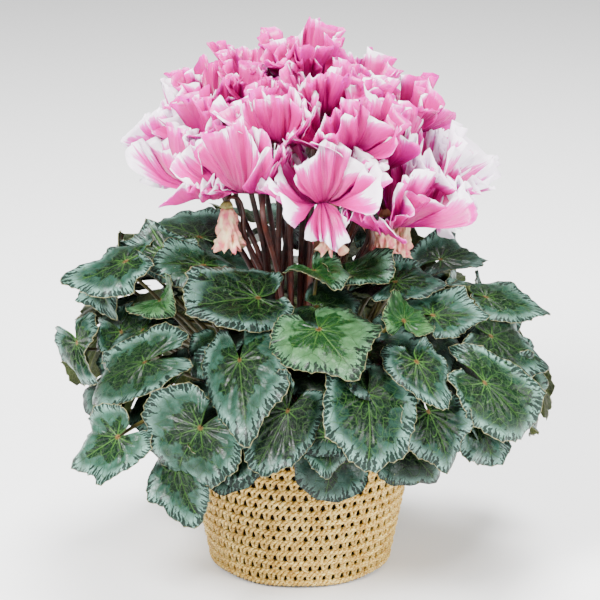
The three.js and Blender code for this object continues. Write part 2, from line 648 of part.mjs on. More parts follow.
// A flower stalk rises nearly straight, passes between two petals and bends over to meet the bloom.
function stalk(bloom) {
  const { hub, axis, side, foot, reach = STALK.reach, bend = 1 } = bloom;
  const at = (across, along) => hub.clone().addScaledVector(side, across).addScaledVector(axis, along);
  const below = at(reach, -STALK.below);
  const knee = foot.clone().lerp(below, 0.62);
  knee.x = foot.x + (knee.x - foot.x) * STALK.pull;
  knee.y = foot.y + (knee.y - foot.y) * STALK.pull;
  const seat = MOUTH.rise + MOUTH.depth + PETAL.thickness + SEAT_GAP;
  const hook = [at(reach, 3 * bend), at(0.75 * reach, 18 * bend), at(0.22 * reach, STALK.hook * bend)];
  const path = [foot, knee, below, ...hook, at(0, seat + CALYX.height - 1)];
  const calyx = new THREE.CylinderGeometry(CALYX.radius, CALYX.radius, CALYX.height, CALYX.sides);
  calyx.rotateX(Math.PI / 2).translate(0, 0, seat + CALYX.height / 2);
  calyx.applyQuaternion(new THREE.Quaternion().setFromUnitVectors(vector(0, 0, 1), axis));
  calyx.translate(...hub.toArray());
  return joined([rod(path, STALK.radius, STALK.sides, STALK.steps), solid(calyx)]);
}

function addBlooms() {
  const blooms = allBlooms();
  for (const bloom of blooms) {
    addNode("bloom_" + String(bloom.item + 1).padStart(2, "0"), bloomShape(bloom, blooms), MATERIALS.petal);
  }
  const faded = fadedBlooms();
  for (const bloom of faded) addNode("faded_bloom_" + (bloom.item + 1), fadedShape(bloom), MATERIALS.faded);
  bySector([...blooms, ...faded], FLOWER_SHOOT).forEach((group, sector) => {
    const shapes = [shoot(FLOWER_SHOOT, sector), ...group.map(stalk)];
    addNode("flower_stalks_" + (sector + 1), joined(shapes), MATERIALS.stalk);
  });
}

addCoverPot();
addNurseryPot();
addSoil();
addCorm();
addLeaves();
addBlooms();

export default part;
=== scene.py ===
"""Looks of a potted cyclamen: marbled leaves, frilled blooms, and a woven cover pot round the nursery pot.

The construction sizes are millimetres, +Z up, in the same frame as the solids. Meshes are written in metres.
"""

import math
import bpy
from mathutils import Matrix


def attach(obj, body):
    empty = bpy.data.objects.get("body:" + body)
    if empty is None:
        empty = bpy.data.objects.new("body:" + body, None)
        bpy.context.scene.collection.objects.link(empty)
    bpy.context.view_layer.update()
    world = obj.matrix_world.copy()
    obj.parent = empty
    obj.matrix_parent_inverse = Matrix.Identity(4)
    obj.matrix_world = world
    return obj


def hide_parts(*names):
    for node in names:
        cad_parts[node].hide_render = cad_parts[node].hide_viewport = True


bl_info = {
    "name": "Potted cyclamen",
    "version": (1, 0, 0),
    "blender": (4, 5, 0),
    "location": "3D View > Sidebar > Cyclamen",
    "description": "Builds the leaves, blooms, stalks, pots and stage of a potted cyclamen",
    "category": "Add Mesh",
}

from types import SimpleNamespace as Values

import bpy
import numpy as np
from bpy.props import FloatProperty, FloatVectorProperty, IntProperty, PointerProperty

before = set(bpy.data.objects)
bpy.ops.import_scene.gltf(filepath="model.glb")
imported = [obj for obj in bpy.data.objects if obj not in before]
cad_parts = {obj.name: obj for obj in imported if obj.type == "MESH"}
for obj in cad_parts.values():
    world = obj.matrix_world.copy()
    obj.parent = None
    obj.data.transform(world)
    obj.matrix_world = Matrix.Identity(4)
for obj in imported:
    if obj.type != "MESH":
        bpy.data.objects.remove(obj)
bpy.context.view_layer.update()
MM = 0.001
# A turn in radians, as the solids' draws of a phase have it
TURN = 6.28

# Driving sizes, as in the solids
COVER = Values(height=130, base_radius=67, rim_radius=92, wall=4, floor=5, courses=15, stitches=60)
NURSERY_POT = Values(height=118, base_radius=54, rim_radius=75, wall=1.6, floor=2, lip=4, lip_drop=14)
CORM = Values(top_radius=38, shoulder_radius=41, height=26, sunk=14)
SEAT_GAP = 0.3
SOIL_TOP = COVER.floor + SEAT_GAP + NURSERY_POT.height - 11
CORM_TOP = SOIL_TOP + CORM.height - CORM.sunk
LEAF_SHOOT = Values(ring=34, radius=6, height=7, sectors=16, spread=2.9)
FLOWER_SHOOT = Values(ring=20, radius=8, height=8, sectors=7, spread=2.7)
DOME_CENTRE = np.array([0.0, 0.0, 128.0])
DOME = Values(across=176, up=132)
BLADE = Values(clearance=4.4, inner_cost=1.3, proportion=1.5)
PETIOLE_SEAT = 6
PETIOLE = Values(foot_radius=1.7, end_radius=1.25, sides=8, steps=18, knee=0.45, run=22, sunk=0.2)
# Stalks rise over the pot's rim, and those of low leaves arch further up, most of all to far leaves
PETIOLE_ARCH = Values(over_rim=26, low_leaf=90, knee=10, end=9, far_leaf=120)
SAMPLES_ROUND = 18
SAMPLE_RINGS = [0.4, 0.75, 1.0]
PETAL = Values(length=55, half_width=25, ruffle=3.4, spacing=61, thickness=0.8)
MOUTH = Values(radius=4.4, rise=-1, depth=7.5)
HEAD = Values(shift=6, skew=-0.13, stagger=8, cell_depth=19, cell_margin=1.5, softness=12)
# How far the draws move the blooms: in steps round the ring, mm out and up, and degrees out and sideways
HEAD_DRAWS = Values(round=0.3, out=6, up=8, tilt=24, sway=26)
BLOOM_RINGS = [
    Values(count=11, radius=85, height=298, lean=-4, turn=4, size=1.0),
    Values(count=9, radius=64, height=325, lean=-8, turn=18.5, size=0.92),
    Values(count=6, radius=37, height=347, lean=-6, turn=12, size=0.86),
    Values(count=1, radius=3, height=362, lean=4, turn=245, size=0.82),
]
# How far the outer petal of some blooms, by their number, hangs down instead of turning up
HANGING = {0: 1.0, 1: 0.2, 2: 1.0, 5: 1.0, 8: 1.0}
# Blooms past their best: azimuth from the front, distance from the axis and height
FADED_BLOOMS = [[-50, 76, 282], [17, 56, 281], [54, 69, 272], [84, 70, 263], [147, 72, 268]]
FADED = Values(reach=14, bend=0.65, length=22, tilt=16, steps=26, sides=72)
STALK = Values(reach=18, below=14, knee=0.62, pull=0.55, steps=44, sides=9)
# A stalk's hook over its bloom: shares of its reach and heights over the bloom's hub
HOOK = [(1, 3), (0.75, 18), (0.22, 23)]
CALYX_HEIGHT = 5

# Leaves seen from the front and sides: azimuth, elevation and heading (degrees), length, width, fold, rise
FRONT_LEAVES = [
    [6, 45, 26, 46, 80, 0.05, 0.3],
    [-17, 35, 18, 64, 70, -0.12, 0.3],
    [-24, 14, -26, 48, 74, 0.05, 0.25],
    [17, 25, -10, 56, 62, -0.06, 0.28],
    [-3, 21, -27, 54, 56, 0.06, 0.25],
    [33, 32, -4, 36, 46, 0.06, 0.35],
    [-17, 55, -60, 48, 64, 0.25, 0.35],
    [66, 31, 45, 52, 62, -0.08, 0.3],
    [50, 21, 30, 56, 62, -0.08, 0.25],
    [45, 57, 76, 44, 42, -0.1, 0.35],
    [50, 44, 66, 38, 42, 0.15, 0.35],
    [96, 53, 50, 46, 44, 0.1, 0.5],
    [78, 40, 40, 44, 46, 0.1, 0.3],
    [34, 44, 150, 28, 36, 0.2, 0.1],
    [-57, 47, 76, 28, 36, 0.3, 0.3],
    [-45, 29, -52, 70, 56, -0.15, 0.3],
    [8, 66, 14, 36, 44, 0.35, 0.4],
    [27, 65, 40, 34, 42, 0.4, 0.5],
    [-60, 37, 28, 44, 46, -0.2, 0.3],
    [-31, 0, 30, 46, 54, 0.1, 0.3],
    [33, 17, 6, 44, 58, -0.05, 0.25],
    [-52, 61, -50, 34, 48, -0.1, 0.4],
    [-86, 57, -100, 15, 46, 0, 1.8],
    [-70, 50, -30, 40, 50, 0, 0.3],
    [-93, 43, 56, 42, 54, 0.1, -0.3],
    [-78, 31, 70, 44, 54, 0.1, -0.5],
    [-90, 19, 60, 42, 56, 0.1, -0.45],
    [-42, 8, -50, 40, 46, 0.1, 0.3],
    [90, 13, -16, 46, 56, 0.1, 0.25],
    [68, 13, 20, 44, 54, 0.1, 0.35],
    [7, 13, 2, 30, 44, 0, 0.1],
    [94, 34, -60, 44, 54, 0.1, -0.45],
    [116, 52, 170, 44, 50, 0.2, 0.95],
    [21, 48, 30, 44, 50, 0.1, 0.2],
    [50, 9, 14, 40, 50, 0.05, 0.3],
]
# Leaves round the back, in rows at one elevation
BACK_ROWS = [
    Values(elevation=59, start=132, end=262, count=3, length=46, rise=0.7),
    Values(elevation=45, start=126, end=258, count=5, length=50, rise=0.5),
    Values(elevation=30, start=108, end=256, count=6, length=54, rise=0.35),
    Values(elevation=14, start=100, end=260, count=6, length=54, rise=0.3),
    Values(elevation=0, start=108, end=250, count=5, length=50, rise=0.3),
]
# How young and bright some leaves are, and how pale some blooms are, from 0 to 1 by their number
YOUNG_LEAVES = {0: 0.75, 13: 1.0, 14: 0.9, 16: 0.5, 17: 0.4}
PALE_BLOOMS = {0: 0.42, 1: 0.32, 2: 0.66, 3: 0.5, 8: 0.62, 9: 0.5, 10: 0.32, 19: 0.3}


def draw(item, use):
    """A repeatable draw from 0 to 1 for one item and one use."""
    wave = math.sin(item * 12.9898 + use * 78.233) * 43758.5453
    return wave - math.floor(wave)


def either_way(item, use, width):
    """A repeatable draw from minus half a width to plus half of it."""
    return width * (draw(item, use) - 0.5)


def unit(vectors):
    """The vectors at a length of 1."""
    return vectors / np.linalg.norm(vectors, axis=-1, keepdims=True)


def outward(azimuth):
    """The level direction away from the axis, at an azimuth in degrees from the front."""
    return np.array([math.sin(math.radians(azimuth)), -math.cos(math.radians(azimuth)), 0.0])


def smooth_step(low, high, values):
    """A smooth rise from 0 at the low value to 1 at the high one."""
    share = np.clip((values - low) / (high - low), 0, 1)
    return share * share * (3 - 2 * share)


def linear(colour):
    """An sRGB hex value to the linear colour that a shader takes."""
    values = [int(colour[k : k + 2], 16) / 255 for k in (1, 3, 5)]
    values = [c / 12.92 if c <= 0.04045 else ((c + 0.055) / 1.055) ** 2.4 for c in values]
    return (*values, 1.0)


# Settings

COLOUR = {"size": 4, "subtype": "COLOR"}


class WeaveSettings(bpy.types.PropertyGroup):
    """Sizes and colour of the woven cover pot."""

    courses: IntProperty(
        name="Courses", description="Rows of stitches from base to rim", default=COVER.courses
    )
    stitches: IntProperty(name="Stitches", description="Stitches in one row", default=COVER.stitches)
    strand: FloatProperty(
        name="Strand radius", description="Radius of one twisted strand", default=1.55 * MM, unit="LENGTH"
    )
    twist: FloatProperty(
        name="Twist radius", description="Swing of one strand round another", default=1.6 * MM, unit="LENGTH"
    )
    straw: FloatVectorProperty(
        name="Straw", description="Middle tone of the straw", default=linear("#d2a640"), **COLOUR
    )


class FoliageSettings(bpy.types.PropertyGroup):
    """Sizes and colours of the leaves."""

    thickness: FloatProperty(name="Thickness", description="Of a blade", default=0.7 * MM, unit="LENGTH")
    frill: FloatProperty(
        name="Frill", description="Height of the margin's waves", default=1.5 * MM, unit="LENGTH"
    )
    curl: FloatProperty(
        name="Curl", description="How far the margin rolls up or down", default=8.5 * MM, unit="LENGTH"
    )
    quilt: FloatProperty(
        name="Quilting", description="Bulge between the veins", default=1.7 * MM, unit="LENGTH"
    )
    green: FloatVectorProperty(
        name="Green", description="Light parts of the dark star", default=linear("#031b0f"), **COLOUR
    )
    silver: FloatVectorProperty(
        name="Silver", description="Light parts of the silver zone", default=linear("#406a5d"), **COLOUR
    )


class FlowerSettings(bpy.types.PropertyGroup):
    """Sizes and colours of the blooms and their stalks."""

    thickness: FloatProperty(name="Thickness", description="Of a petal", default=0.5 * MM, unit="LENGTH")
    frill: FloatProperty(
        name="Frill", description="Height of the margin's frills", default=4.0 * MM, unit="LENGTH"
    )
    stalk: FloatProperty(name="Stalk radius", description="At the foot", default=2.3 * MM, unit="LENGTH")
    petal: FloatVectorProperty(
        name="Petal", description="Middle tone of a petal", default=linear("#ba0076"), **COLOUR
    )
    margin: FloatVectorProperty(
        name="Margin", description="Palest part of a petal", default=linear("#fbeaff"), **COLOUR
    )


class StageSettings(bpy.types.PropertyGroup):
    """The viewing direction and the light."""

    distance: FloatProperty(name="Distance", description="Camera to plant", default=1.8, unit="LENGTH")
    elevation: FloatProperty(
        name="Elevation", description="Camera above the plant", default=math.radians(17), subtype="ANGLE"
    )
    lens: FloatProperty(name="Lens", description="Focal length in mm", default=144)
    light: FloatProperty(name="Light", description="Power of the key light in watts", default=175)
    surround: FloatProperty(name="Surround", description="Strength of the white surroundings", default=0.52)


# Meshes


def new_mesh(name, parts):
    """One mesh from parts of (points in mm, sets of faces, material, {attribute name: vectors}).

    The material is the number of a slot for the whole part, or a list with one for each set of faces.
    """
    points = np.concatenate([part[0] for part in parts])
    mesh = bpy.data.meshes.new(name)
    starts = np.cumsum([0] + [len(part[0]) for part in parts])
    loops, totals, numbers = [], [], []
    for (_, face_sets, material, _), start in zip(parts, starts):
        slots = [material] * len(face_sets) if np.isscalar(material) else material
        for faces, slot in zip(face_sets, slots):
            loops.append((faces + start).ravel())
            totals.append(np.full(len(faces), faces.shape[1]))
            numbers.append(np.full(len(faces), slot))
    loops, totals, numbers = [np.concatenate(lists) for lists in (loops, totals, numbers)]
    mesh.vertices.add(len(points))
    mesh.vertices.foreach_set("co", (points * MM).astype(np.float32).ravel())
    mesh.loops.add(len(loops))
    mesh.loops.foreach_set("vertex_index", loops.astype(np.int32))
    mesh.polygons.add(len(totals))
    mesh.polygons.foreach_set("loop_start", (np.cumsum(totals) - totals).astype(np.int32))
    mesh.polygons.foreach_set("material_index", numbers.astype(np.int32))
    mesh.polygons.foreach_set("use_smooth", np.ones(len(totals), dtype=bool))
    names = sorted({name for part in parts for name in part[3]})
    for attribute in names:
        blocks = [np.broadcast_to(part[3].get(attribute, np.zeros(3)), (len(part[0]), 3)) for part in parts]
        layer = mesh.attributes.new(attribute, "FLOAT_VECTOR", "POINT")
        layer.data.foreach_set("vector", np.concatenate(blocks).astype(np.float32).ravel())
    mesh.update()
    mesh.validate()
    return mesh


def add_piece(name, mesh, materials, slot, *nodes):
    """Adds a piece to the scene, with its materials and body, in the place of its CAD nodes. The slot is not
    used.
    """
    piece = bpy.data.objects.new(name, mesh)
    bpy.context.scene.collection.objects.link(piece)
    for material in materials:
        mesh.materials.append(material)
    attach(piece, "root")
    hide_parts(*nodes)


def grid_faces(rows, columns, around=False):
    """Four-sided faces of a grid of points, which closes on itself if it goes around."""
    across = columns if around else columns - 1
    r, c = np.meshgrid(np.arange(rows - 1), np.arange(across), indexing="ij")
    r, c = r.ravel(), c.ravel()
    here, ahead = r * columns + c, r * columns + (c + 1) % columns
    return np.stack([here, ahead, ahead + columns, here + columns], 1)


def closed_faces(rings, sides):
    """Faces of a stack of rings, closed by fans to the two points that come after them."""
    k = np.arange(sides)
    last, centres = (rings - 1) * sides, rings * sides
    low = np.stack([k, np.full(sides, centres), (k + 1) % sides], 1)
    high = np.stack([last + k, last + (k + 1) % sides, np.full(sides, centres + 1)], 1)
    return [grid_faces(rings, sides, around=True), low, high]


def lathe(profile, sides, displace=None):
    """A closed solid of revolution. The profile runs from the axis round the outside and back to the axis."""
    profile = np.asarray(profile, dtype=float)
    inner = profile[1:-1]
    angle = np.arange(sides) / sides * 2 * math.pi
    ring = np.stack([np.cos(angle), np.sin(angle)], 1)
    points = np.empty((len(inner), sides, 3))
    points[:, :, :2] = inner[:, 0, None, None] * ring
    points[:, :, 2] = inner[:, 1, None]
    points = points.reshape(-1, 3)
    points = np.vstack([points, [0, 0, profile[0, 1]], [0, 0, profile[-1, 1]]])
    if displace:
        points = displace(points)
    return points, closed_faces(len(inner), sides)


def turns(points):
    """The angle of each point round the Z axis."""
    return np.arctan2(points[:, 1], points[:, 0])


def swollen(points, factor):
    """The points moved out from the Z axis by a factor for each."""
    return points * np.stack([factor, factor, np.ones(len(points))], 1)


def on_both_faces(vectors):
    """A vector for each point of a shell's middle, repeated for its upper and its lower face."""
    return np.tile(vectors.reshape(-1, 3), (2, 1))


def curve_points(controls, count):
    """Points along a centripetal Catmull-Rom curve, the same curve that the rods follow."""
    controls = np.asarray(controls, dtype=float)
    padded = np.vstack([2 * controls[0] - controls[1], controls, 2 * controls[-1] - controls[-2]])
    fine = []
    for k in range(len(controls) - 1):
        p0, p1, p2, p3 = padded[k : k + 4]
        steps = [max(np.dot(b - a, b - a) ** 0.25, 1e-4) for a, b in ((p0, p1), (p1, p2), (p2, p3))]
        t1 = ((p1 - p0) / steps[0] - (p2 - p0) / (steps[0] + steps[1]) + (p2 - p1) / steps[1]) * steps[1]
        t2 = ((p2 - p1) / steps[1] - (p3 - p1) / (steps[1] + steps[2]) + (p3 - p2) / steps[2]) * steps[1]
        t = np.linspace(0, 1, 24, endpoint=k == len(controls) - 2)[:, None]
        fine.append(
            p1 + t1 * t + (-3 * p1 + 3 * p2 - 2 * t1 - t2) * t**2 + (2 * p1 - 2 * p2 + t1 + t2) * t**3
        )
    fine = np.concatenate(fine)
    length = np.concatenate([[0], np.cumsum(np.linalg.norm(np.diff(fine, axis=0), axis=1))])
    even = np.linspace(0, length[-1], count)
    return np.stack([np.interp(even, length, fine[:, axis]) for axis in range(3)], 1)


def tube(path, radii, sides):
    """A closed round tube along a path, with its radius given at every point."""
    tangents = unit(np.gradient(path, axis=0))
    side = np.cross(tangents[0], [0.3, 0.9, 0.1])
    rings = []
    for point, tangent, radius in zip(path, tangents, radii):
        side = side - tangent * np.dot(side, tangent)
        side = side / np.linalg.norm(side)
        other = np.cross(tangent, side)
        angle = np.arange(sides)[:, None] / sides * 2 * math.pi
        rings.append(point + radius * (np.cos(angle) * side + np.sin(angle) * other))
    points = np.concatenate(rings + [path[:1], path[-1:]])
    return points, closed_faces(len(path), sides)


def shell(middle, normals, half, rows, columns):
    """A closed thin shell about a grid of points: an upper face, a lower face and the strip between them."""
    upper = middle + normals * half[:, None]
    lower = middle - normals * half[:, None]
    quads = grid_faces(rows, columns)
    count = rows * columns
    under = quads[:, ::-1] + count
    number = np.arange(count).reshape(rows, columns)
    loop = np.concatenate([number[0, :-1], number[:-1, -1], number[-1, :0:-1], number[:0:-1, 0]])
    ahead = np.roll(loop, -1)
    rim = np.stack([ahead, loop, loop + count, ahead + count], 1)
    return np.vstack([upper, lower]), [quads, under, rim]


# Materials


def fill(tree, made, inputs):
    """Sets a node's inputs to values, or links them to sockets, in order or by name.

    A list holds the sockets for one input that takes several.
    """
    for key, value in inputs.items() if isinstance(inputs, dict) else enumerate(inputs):
        for entry in value if isinstance(value, list) else [value]:
            if isinstance(entry, bpy.types.NodeSocket):
                tree.links.new(entry, made.inputs[key])
            else:
                made.inputs[key].default_value = entry


def node(tree, kind, inputs=(), stops=(), **settings):
    """Adds a node with its settings and links, and returns its outputs.

    The inputs are values or sockets, in order or by name. The stops of a colour ramp are (place, colour),
    and the colour is a hex value or is linear already. Inputs of a Mix node go by number: its share is 0,
    its numbers are 2 and 3, and its colours are 6 and 7, with the mixed colour as output 2.
    """
    made = tree.nodes.new(kind)
    for name, value in settings.items():
        setattr(made, name, value)
    fill(tree, made, inputs)
    for number, (place, colour) in enumerate(stops):
        elements = made.color_ramp.elements
        element = elements[number] if number < 2 else elements.new(place)
        element.position = place
        element.color = linear(colour) if isinstance(colour, str) else colour
    return made.outputs


def new_material(name):
    """A new material with its node tree and its shader."""
    material = bpy.data.materials.new(name)
    material.use_nodes = True
    tree = material.node_tree
    return material, tree, tree.nodes["Principled BSDF"]


# For a Map Range node that passes softly from one value to the other
SMOOTH = {"interpolation_type": "SMOOTHSTEP"}


def leaf_upper_material(settings):
    """Waxy upper face of a leaf blade.

    The wax gives a cool soft sheen on every bulge between the sunken veins. A dark green star lies round the
    stalk, then comes a silver zone, and its pale flames run out between dark dashes to the cream teeth.
    """
    material, tree, shader = new_material("waxy_leaf_blade_upper")
    place = node(tree, "ShaderNodeTexCoord")["Object"]
    spot = node(tree, "ShaderNodeAttribute", attribute_name="leaf_place")["Vector"]
    lateral, reach, share = node(tree, "ShaderNodeSeparateXYZ", [spot])
    spot = node(tree, "ShaderNodeAttribute", attribute_name="leaf_turn")["Vector"]
    turn, between, seed = node(tree, "ShaderNodeSeparateXYZ", [spot])
    spot = node(tree, "ShaderNodeAttribute", attribute_name="leaf_look")["Vector"]
    young, silvered, tone_and_shade = node(tree, "ShaderNodeSeparateXYZ", [spot])

    # Patches 10 mm and 3 mm across, blisters 7 mm across and a fine net with meshes of 3 mm
    patch = node(tree, "ShaderNodeTexNoise", {"Vector": place, "Scale": 1 / (10 * MM), "Detail": 3.0})["Fac"]
    fleck = node(tree, "ShaderNodeTexNoise", {"Vector": place, "Scale": 1 / (3 * MM), "Detail": 2.0})["Fac"]
    inputs = {"Vector": place, "Scale": 1 / (7 * MM), "Smoothness": 0.5}
    blister = node(tree, "ShaderNodeTexVoronoi", inputs, feature="SMOOTH_F1")["Distance"]
    inputs = {"Vector": place, "Scale": 1 / (3 * MM)}
    net = node(tree, "ShaderNodeTexVoronoi", inputs, feature="DISTANCE_TO_EDGE")["Distance"]
    wobble = node(tree, "ShaderNodeMath", [patch, 0.5], operation="SUBTRACT")[0]
    flick = node(tree, "ShaderNodeMath", [fleck, 0.5], operation="SUBTRACT")[0]

    # The star's edge runs out along the main veins
    near = node(tree, "ShaderNodeMath", [1.0, between], operation="SUBTRACT")[0]
    star = node(tree, "ShaderNodeMath", [near, 2.0], operation="POWER")[0]
    edge = 0.68
    for pattern, weight in ((silvered, -0.3), (wobble, 1.1), (star, 0.22), (flick, 0.15)):
        edge = node(tree, "ShaderNodeMath", [pattern, weight, edge], operation="MULTIPLY_ADD")[0]
    past = node(tree, "ShaderNodeMath", [share, edge], operation="SUBTRACT")[0]
    silver = node(tree, "ShaderNodeMapRange", [past, -0.03, 0.07, 0.0, 1.0], **SMOOTH)[0]
    dome = node(tree, "ShaderNodeMapRange", [blister, 0.2, 0.75, 1.0, 0.55], **SMOOTH)[0]
    silver = node(tree, "ShaderNodeMath", [silver, dome], operation="MULTIPLY")[0]
    flush = node(tree, "ShaderNodeMapRange", [share, 0.7, 0.88, 0.0, 1.0], **SMOOTH)[0]
    kept = node(tree, "ShaderNodeMix", {0: flush, 2: silvered, 3: 0.9})[0]
    silver = node(tree, "ShaderNodeMath", [silver, kept], operation="MULTIPLY")[0]

    # Main veins taper from 0.9 to 0.3 mm, and side veins leave them forward every 8 mm
    width = node(tree, "ShaderNodeMath", [share, -0.3, 0.4], operation="MULTIPLY_ADD")[0]
    off = node(tree, "ShaderNodeMath", [lateral, width], operation="SUBTRACT")[0]
    main = node(tree, "ShaderNodeMapRange", [off, -0.05, 0.3, 1.0, 0.0], **SMOOTH)[0]
    chevron = node(tree, "ShaderNodeMath", [wobble, 7.0, reach], operation="MULTIPLY_ADD")[0]
    chevron = node(tree, "ShaderNodeMath", [lateral, -1.05, chevron], operation="MULTIPLY_ADD")[0]
    for operation, number in (("DIVIDE", 8.0), ("FRACT", 0.0), ("SUBTRACT", 0.5), ("ABSOLUTE", 0.0)):
        chevron = node(tree, "ShaderNodeMath", [chevron, number], operation=operation)[0]
    side = node(tree, "ShaderNodeMapRange", [chevron, 0.02, 0.06, 0.8, 0.0], **SMOOTH)[0]
    fine = node(tree, "ShaderNodeMapRange", [net, 0.02, 0.08, 0.35, 0.0], **SMOOTH)[0]
    veins = node(tree, "ShaderNodeMath", [side, fine], operation="MAXIMUM")[0]
    veins = node(tree, "ShaderNodeMath", [main, veins], operation="MAXIMUM")[0]

    # Dark dashes along the margin, which taper inwards to uneven depths
    dashes = node(tree, "ShaderNodeMath", [flick, 1.6], operation="MULTIPLY")[0]
    dashes = node(tree, "ShaderNodeMath", [turn, DASHES_PER_TURN, dashes], operation="MULTIPLY_ADD")[0]
    dashes = node(tree, "ShaderNodeMath", [seed, 31.0, dashes], operation="MULTIPLY_ADD")[0]
    number = node(tree, "ShaderNodeMath", [dashes], operation="FLOOR")[0]
    depth = node(tree, "ShaderNodeTexWhiteNoise", {"W": number}, noise_dimensions="1D")["Value"]
    across = dashes
    for operation, value in (("FRACT", 0.0), ("SUBTRACT", 0.5), ("ABSOLUTE", 0.0)):
        across = node(tree, "ShaderNodeMath", [across, value], operation=operation)[0]
    along = node(tree, "ShaderNodeMath", [depth, 0.2, share], operation="MULTIPLY_ADD")[0]
    along = node(tree, "ShaderNodeMath", [wobble, 0.25, along], operation="MULTIPLY_ADD")[0]
    width = node(tree, "ShaderNodeMapRange", [along, 0.9, 1.02, 0.0, 0.43])[0]
    inside = node(tree, "ShaderNodeMath", [width, across], operation="SUBTRACT")[0]
    dash = node(tree, "ShaderNodeMapRange", [inside, -0.02, 0.06, 0.0, 0.92], **SMOOTH)[0]
    rim = node(tree, "ShaderNodeMapRange", [share, 0.985, 0.995, 0.0, 0.8])[0]

    dark = node(tree, "ShaderNodeValToRGB", [patch], [(0.3, "#010704"), (0.7, settings.green)])[0]
    dark = node(tree, "ShaderNodeMix", {0: young, 6: dark, 7: linear("#103e18")}, data_type="RGBA")[2]
    pale = node(tree, "ShaderNodeValToRGB", [patch], [(0.3, "#1a382f"), (0.7, settings.silver)])[0]
    pale = node(tree, "ShaderNodeMix", {0: flush, 6: pale, 7: linear("#7ba598")}, data_type="RGBA")[2]
    pale = node(tree, "ShaderNodeMix", {0: young, 6: pale, 7: linear("#5c8c56")}, data_type="RGBA")[2]
    colour = node(tree, "ShaderNodeMix", {0: silver, 6: dark, 7: pale}, data_type="RGBA")[2]
    inputs = {0: silver, 6: linear("#456f2f"), 7: linear("#102e1f")}
    vein = node(tree, "ShaderNodeMix", inputs, data_type="RGBA")[2]
    shown = node(tree, "ShaderNodeMath", [veins, 0.75], operation="MULTIPLY")[0]
    dot = node(tree, "ShaderNodeMapRange", [reach, 1.0, 2.6, 1.0, 0.0])[0]
    # Veins, dashes, the cream teeth and the brown spot over the stalk lie over each other in turn
    layers = [(shown, vein), (dash, linear("#02120a")), (rim, linear("#a09a6c")), (dot, linear("#7a5a36"))]
    for cover, tone in layers:
        colour = node(tree, "ShaderNodeMix", {0: cover, 6: colour, 7: tone}, data_type="RGBA")[2]
    # Each leaf's colour is scaled by its tone and shade: a random tone on outer leaves, and painted shade,
    # for the shadow of the leaves over them, on deep ones
    grey = node(tree, "ShaderNodeCombineXYZ", [tone_and_shade, tone_and_shade, tone_and_shade])[0]
    inputs = {0: 1.0, 6: colour, 7: grey}
    colour = node(tree, "ShaderNodeMix", inputs, data_type="RGBA", blend_type="MULTIPLY")[2]

    height = node(tree, "ShaderNodeMath", [blister, -0.9], operation="MULTIPLY")[0]
    height = node(tree, "ShaderNodeMath", [veins, -0.7, height], operation="MULTIPLY_ADD")[0]
    bump = node(tree, "ShaderNodeBump", {"Strength": 0.8, "Distance": 0.8 * MM, "Height": height})[0]
    finish = {"Base Color": colour, "Normal": bump, "Roughness": 0.33, "Specular IOR Level": 0.17}
    fill(tree, shader, finish)
    return material


def leaf_under_material():
    """Matt underside of a leaf blade.

    Without wax it scatters the light evenly, so it reads as soft olive green with raised paler veins.
    """
    material, tree, shader = new_material("matt_leaf_blade_underside")
    place = node(tree, "ShaderNodeTexCoord")["Object"]
    spot = node(tree, "ShaderNodeAttribute", attribute_name="leaf_place")["Vector"]
    lateral, _, share = node(tree, "ShaderNodeSeparateXYZ", [spot])
    # Patches 8 mm across, and a net with meshes of 3.5 mm
    patch = node(tree, "ShaderNodeTexNoise", {"Vector": place, "Scale": 1 / (8 * MM), "Detail": 4.0})["Fac"]
    inputs = {"Vector": place, "Scale": 1 / (3.5 * MM)}
    net = node(tree, "ShaderNodeTexVoronoi", inputs, feature="DISTANCE_TO_EDGE")["Distance"]
    off = node(tree, "ShaderNodeMath", [share, 0.4, lateral], operation="MULTIPLY_ADD")[0]
    main = node(tree, "ShaderNodeMapRange", [off, 0.5, 1.2, 1.0, 0.0])[0]
    fine = node(tree, "ShaderNodeMapRange", [net, 0.02, 0.08, 0.4, 0.0])[0]
    veins = node(tree, "ShaderNodeMath", [main, fine], operation="MAXIMUM")[0]
    stops = [(0.3, "#1e2a0a"), (0.6, "#344415"), (0.8, "#505d27")]
    base = node(tree, "ShaderNodeValToRGB", [patch], stops)[0]
    shown = node(tree, "ShaderNodeMath", [veins, 0.6], operation="MULTIPLY")[0]
    inputs = {0: shown, 6: base, 7: linear("#7c874e")}
    colour = node(tree, "ShaderNodeMix", inputs, data_type="RGBA")[2]
    bump = node(tree, "ShaderNodeBump", {"Strength": 0.6, "Distance": 0.6 * MM, "Height": veins})[0]
    finish = {"Base Color": colour, "Normal": bump, "Roughness": 0.6}
    fill(tree, shader, finish)
    return material


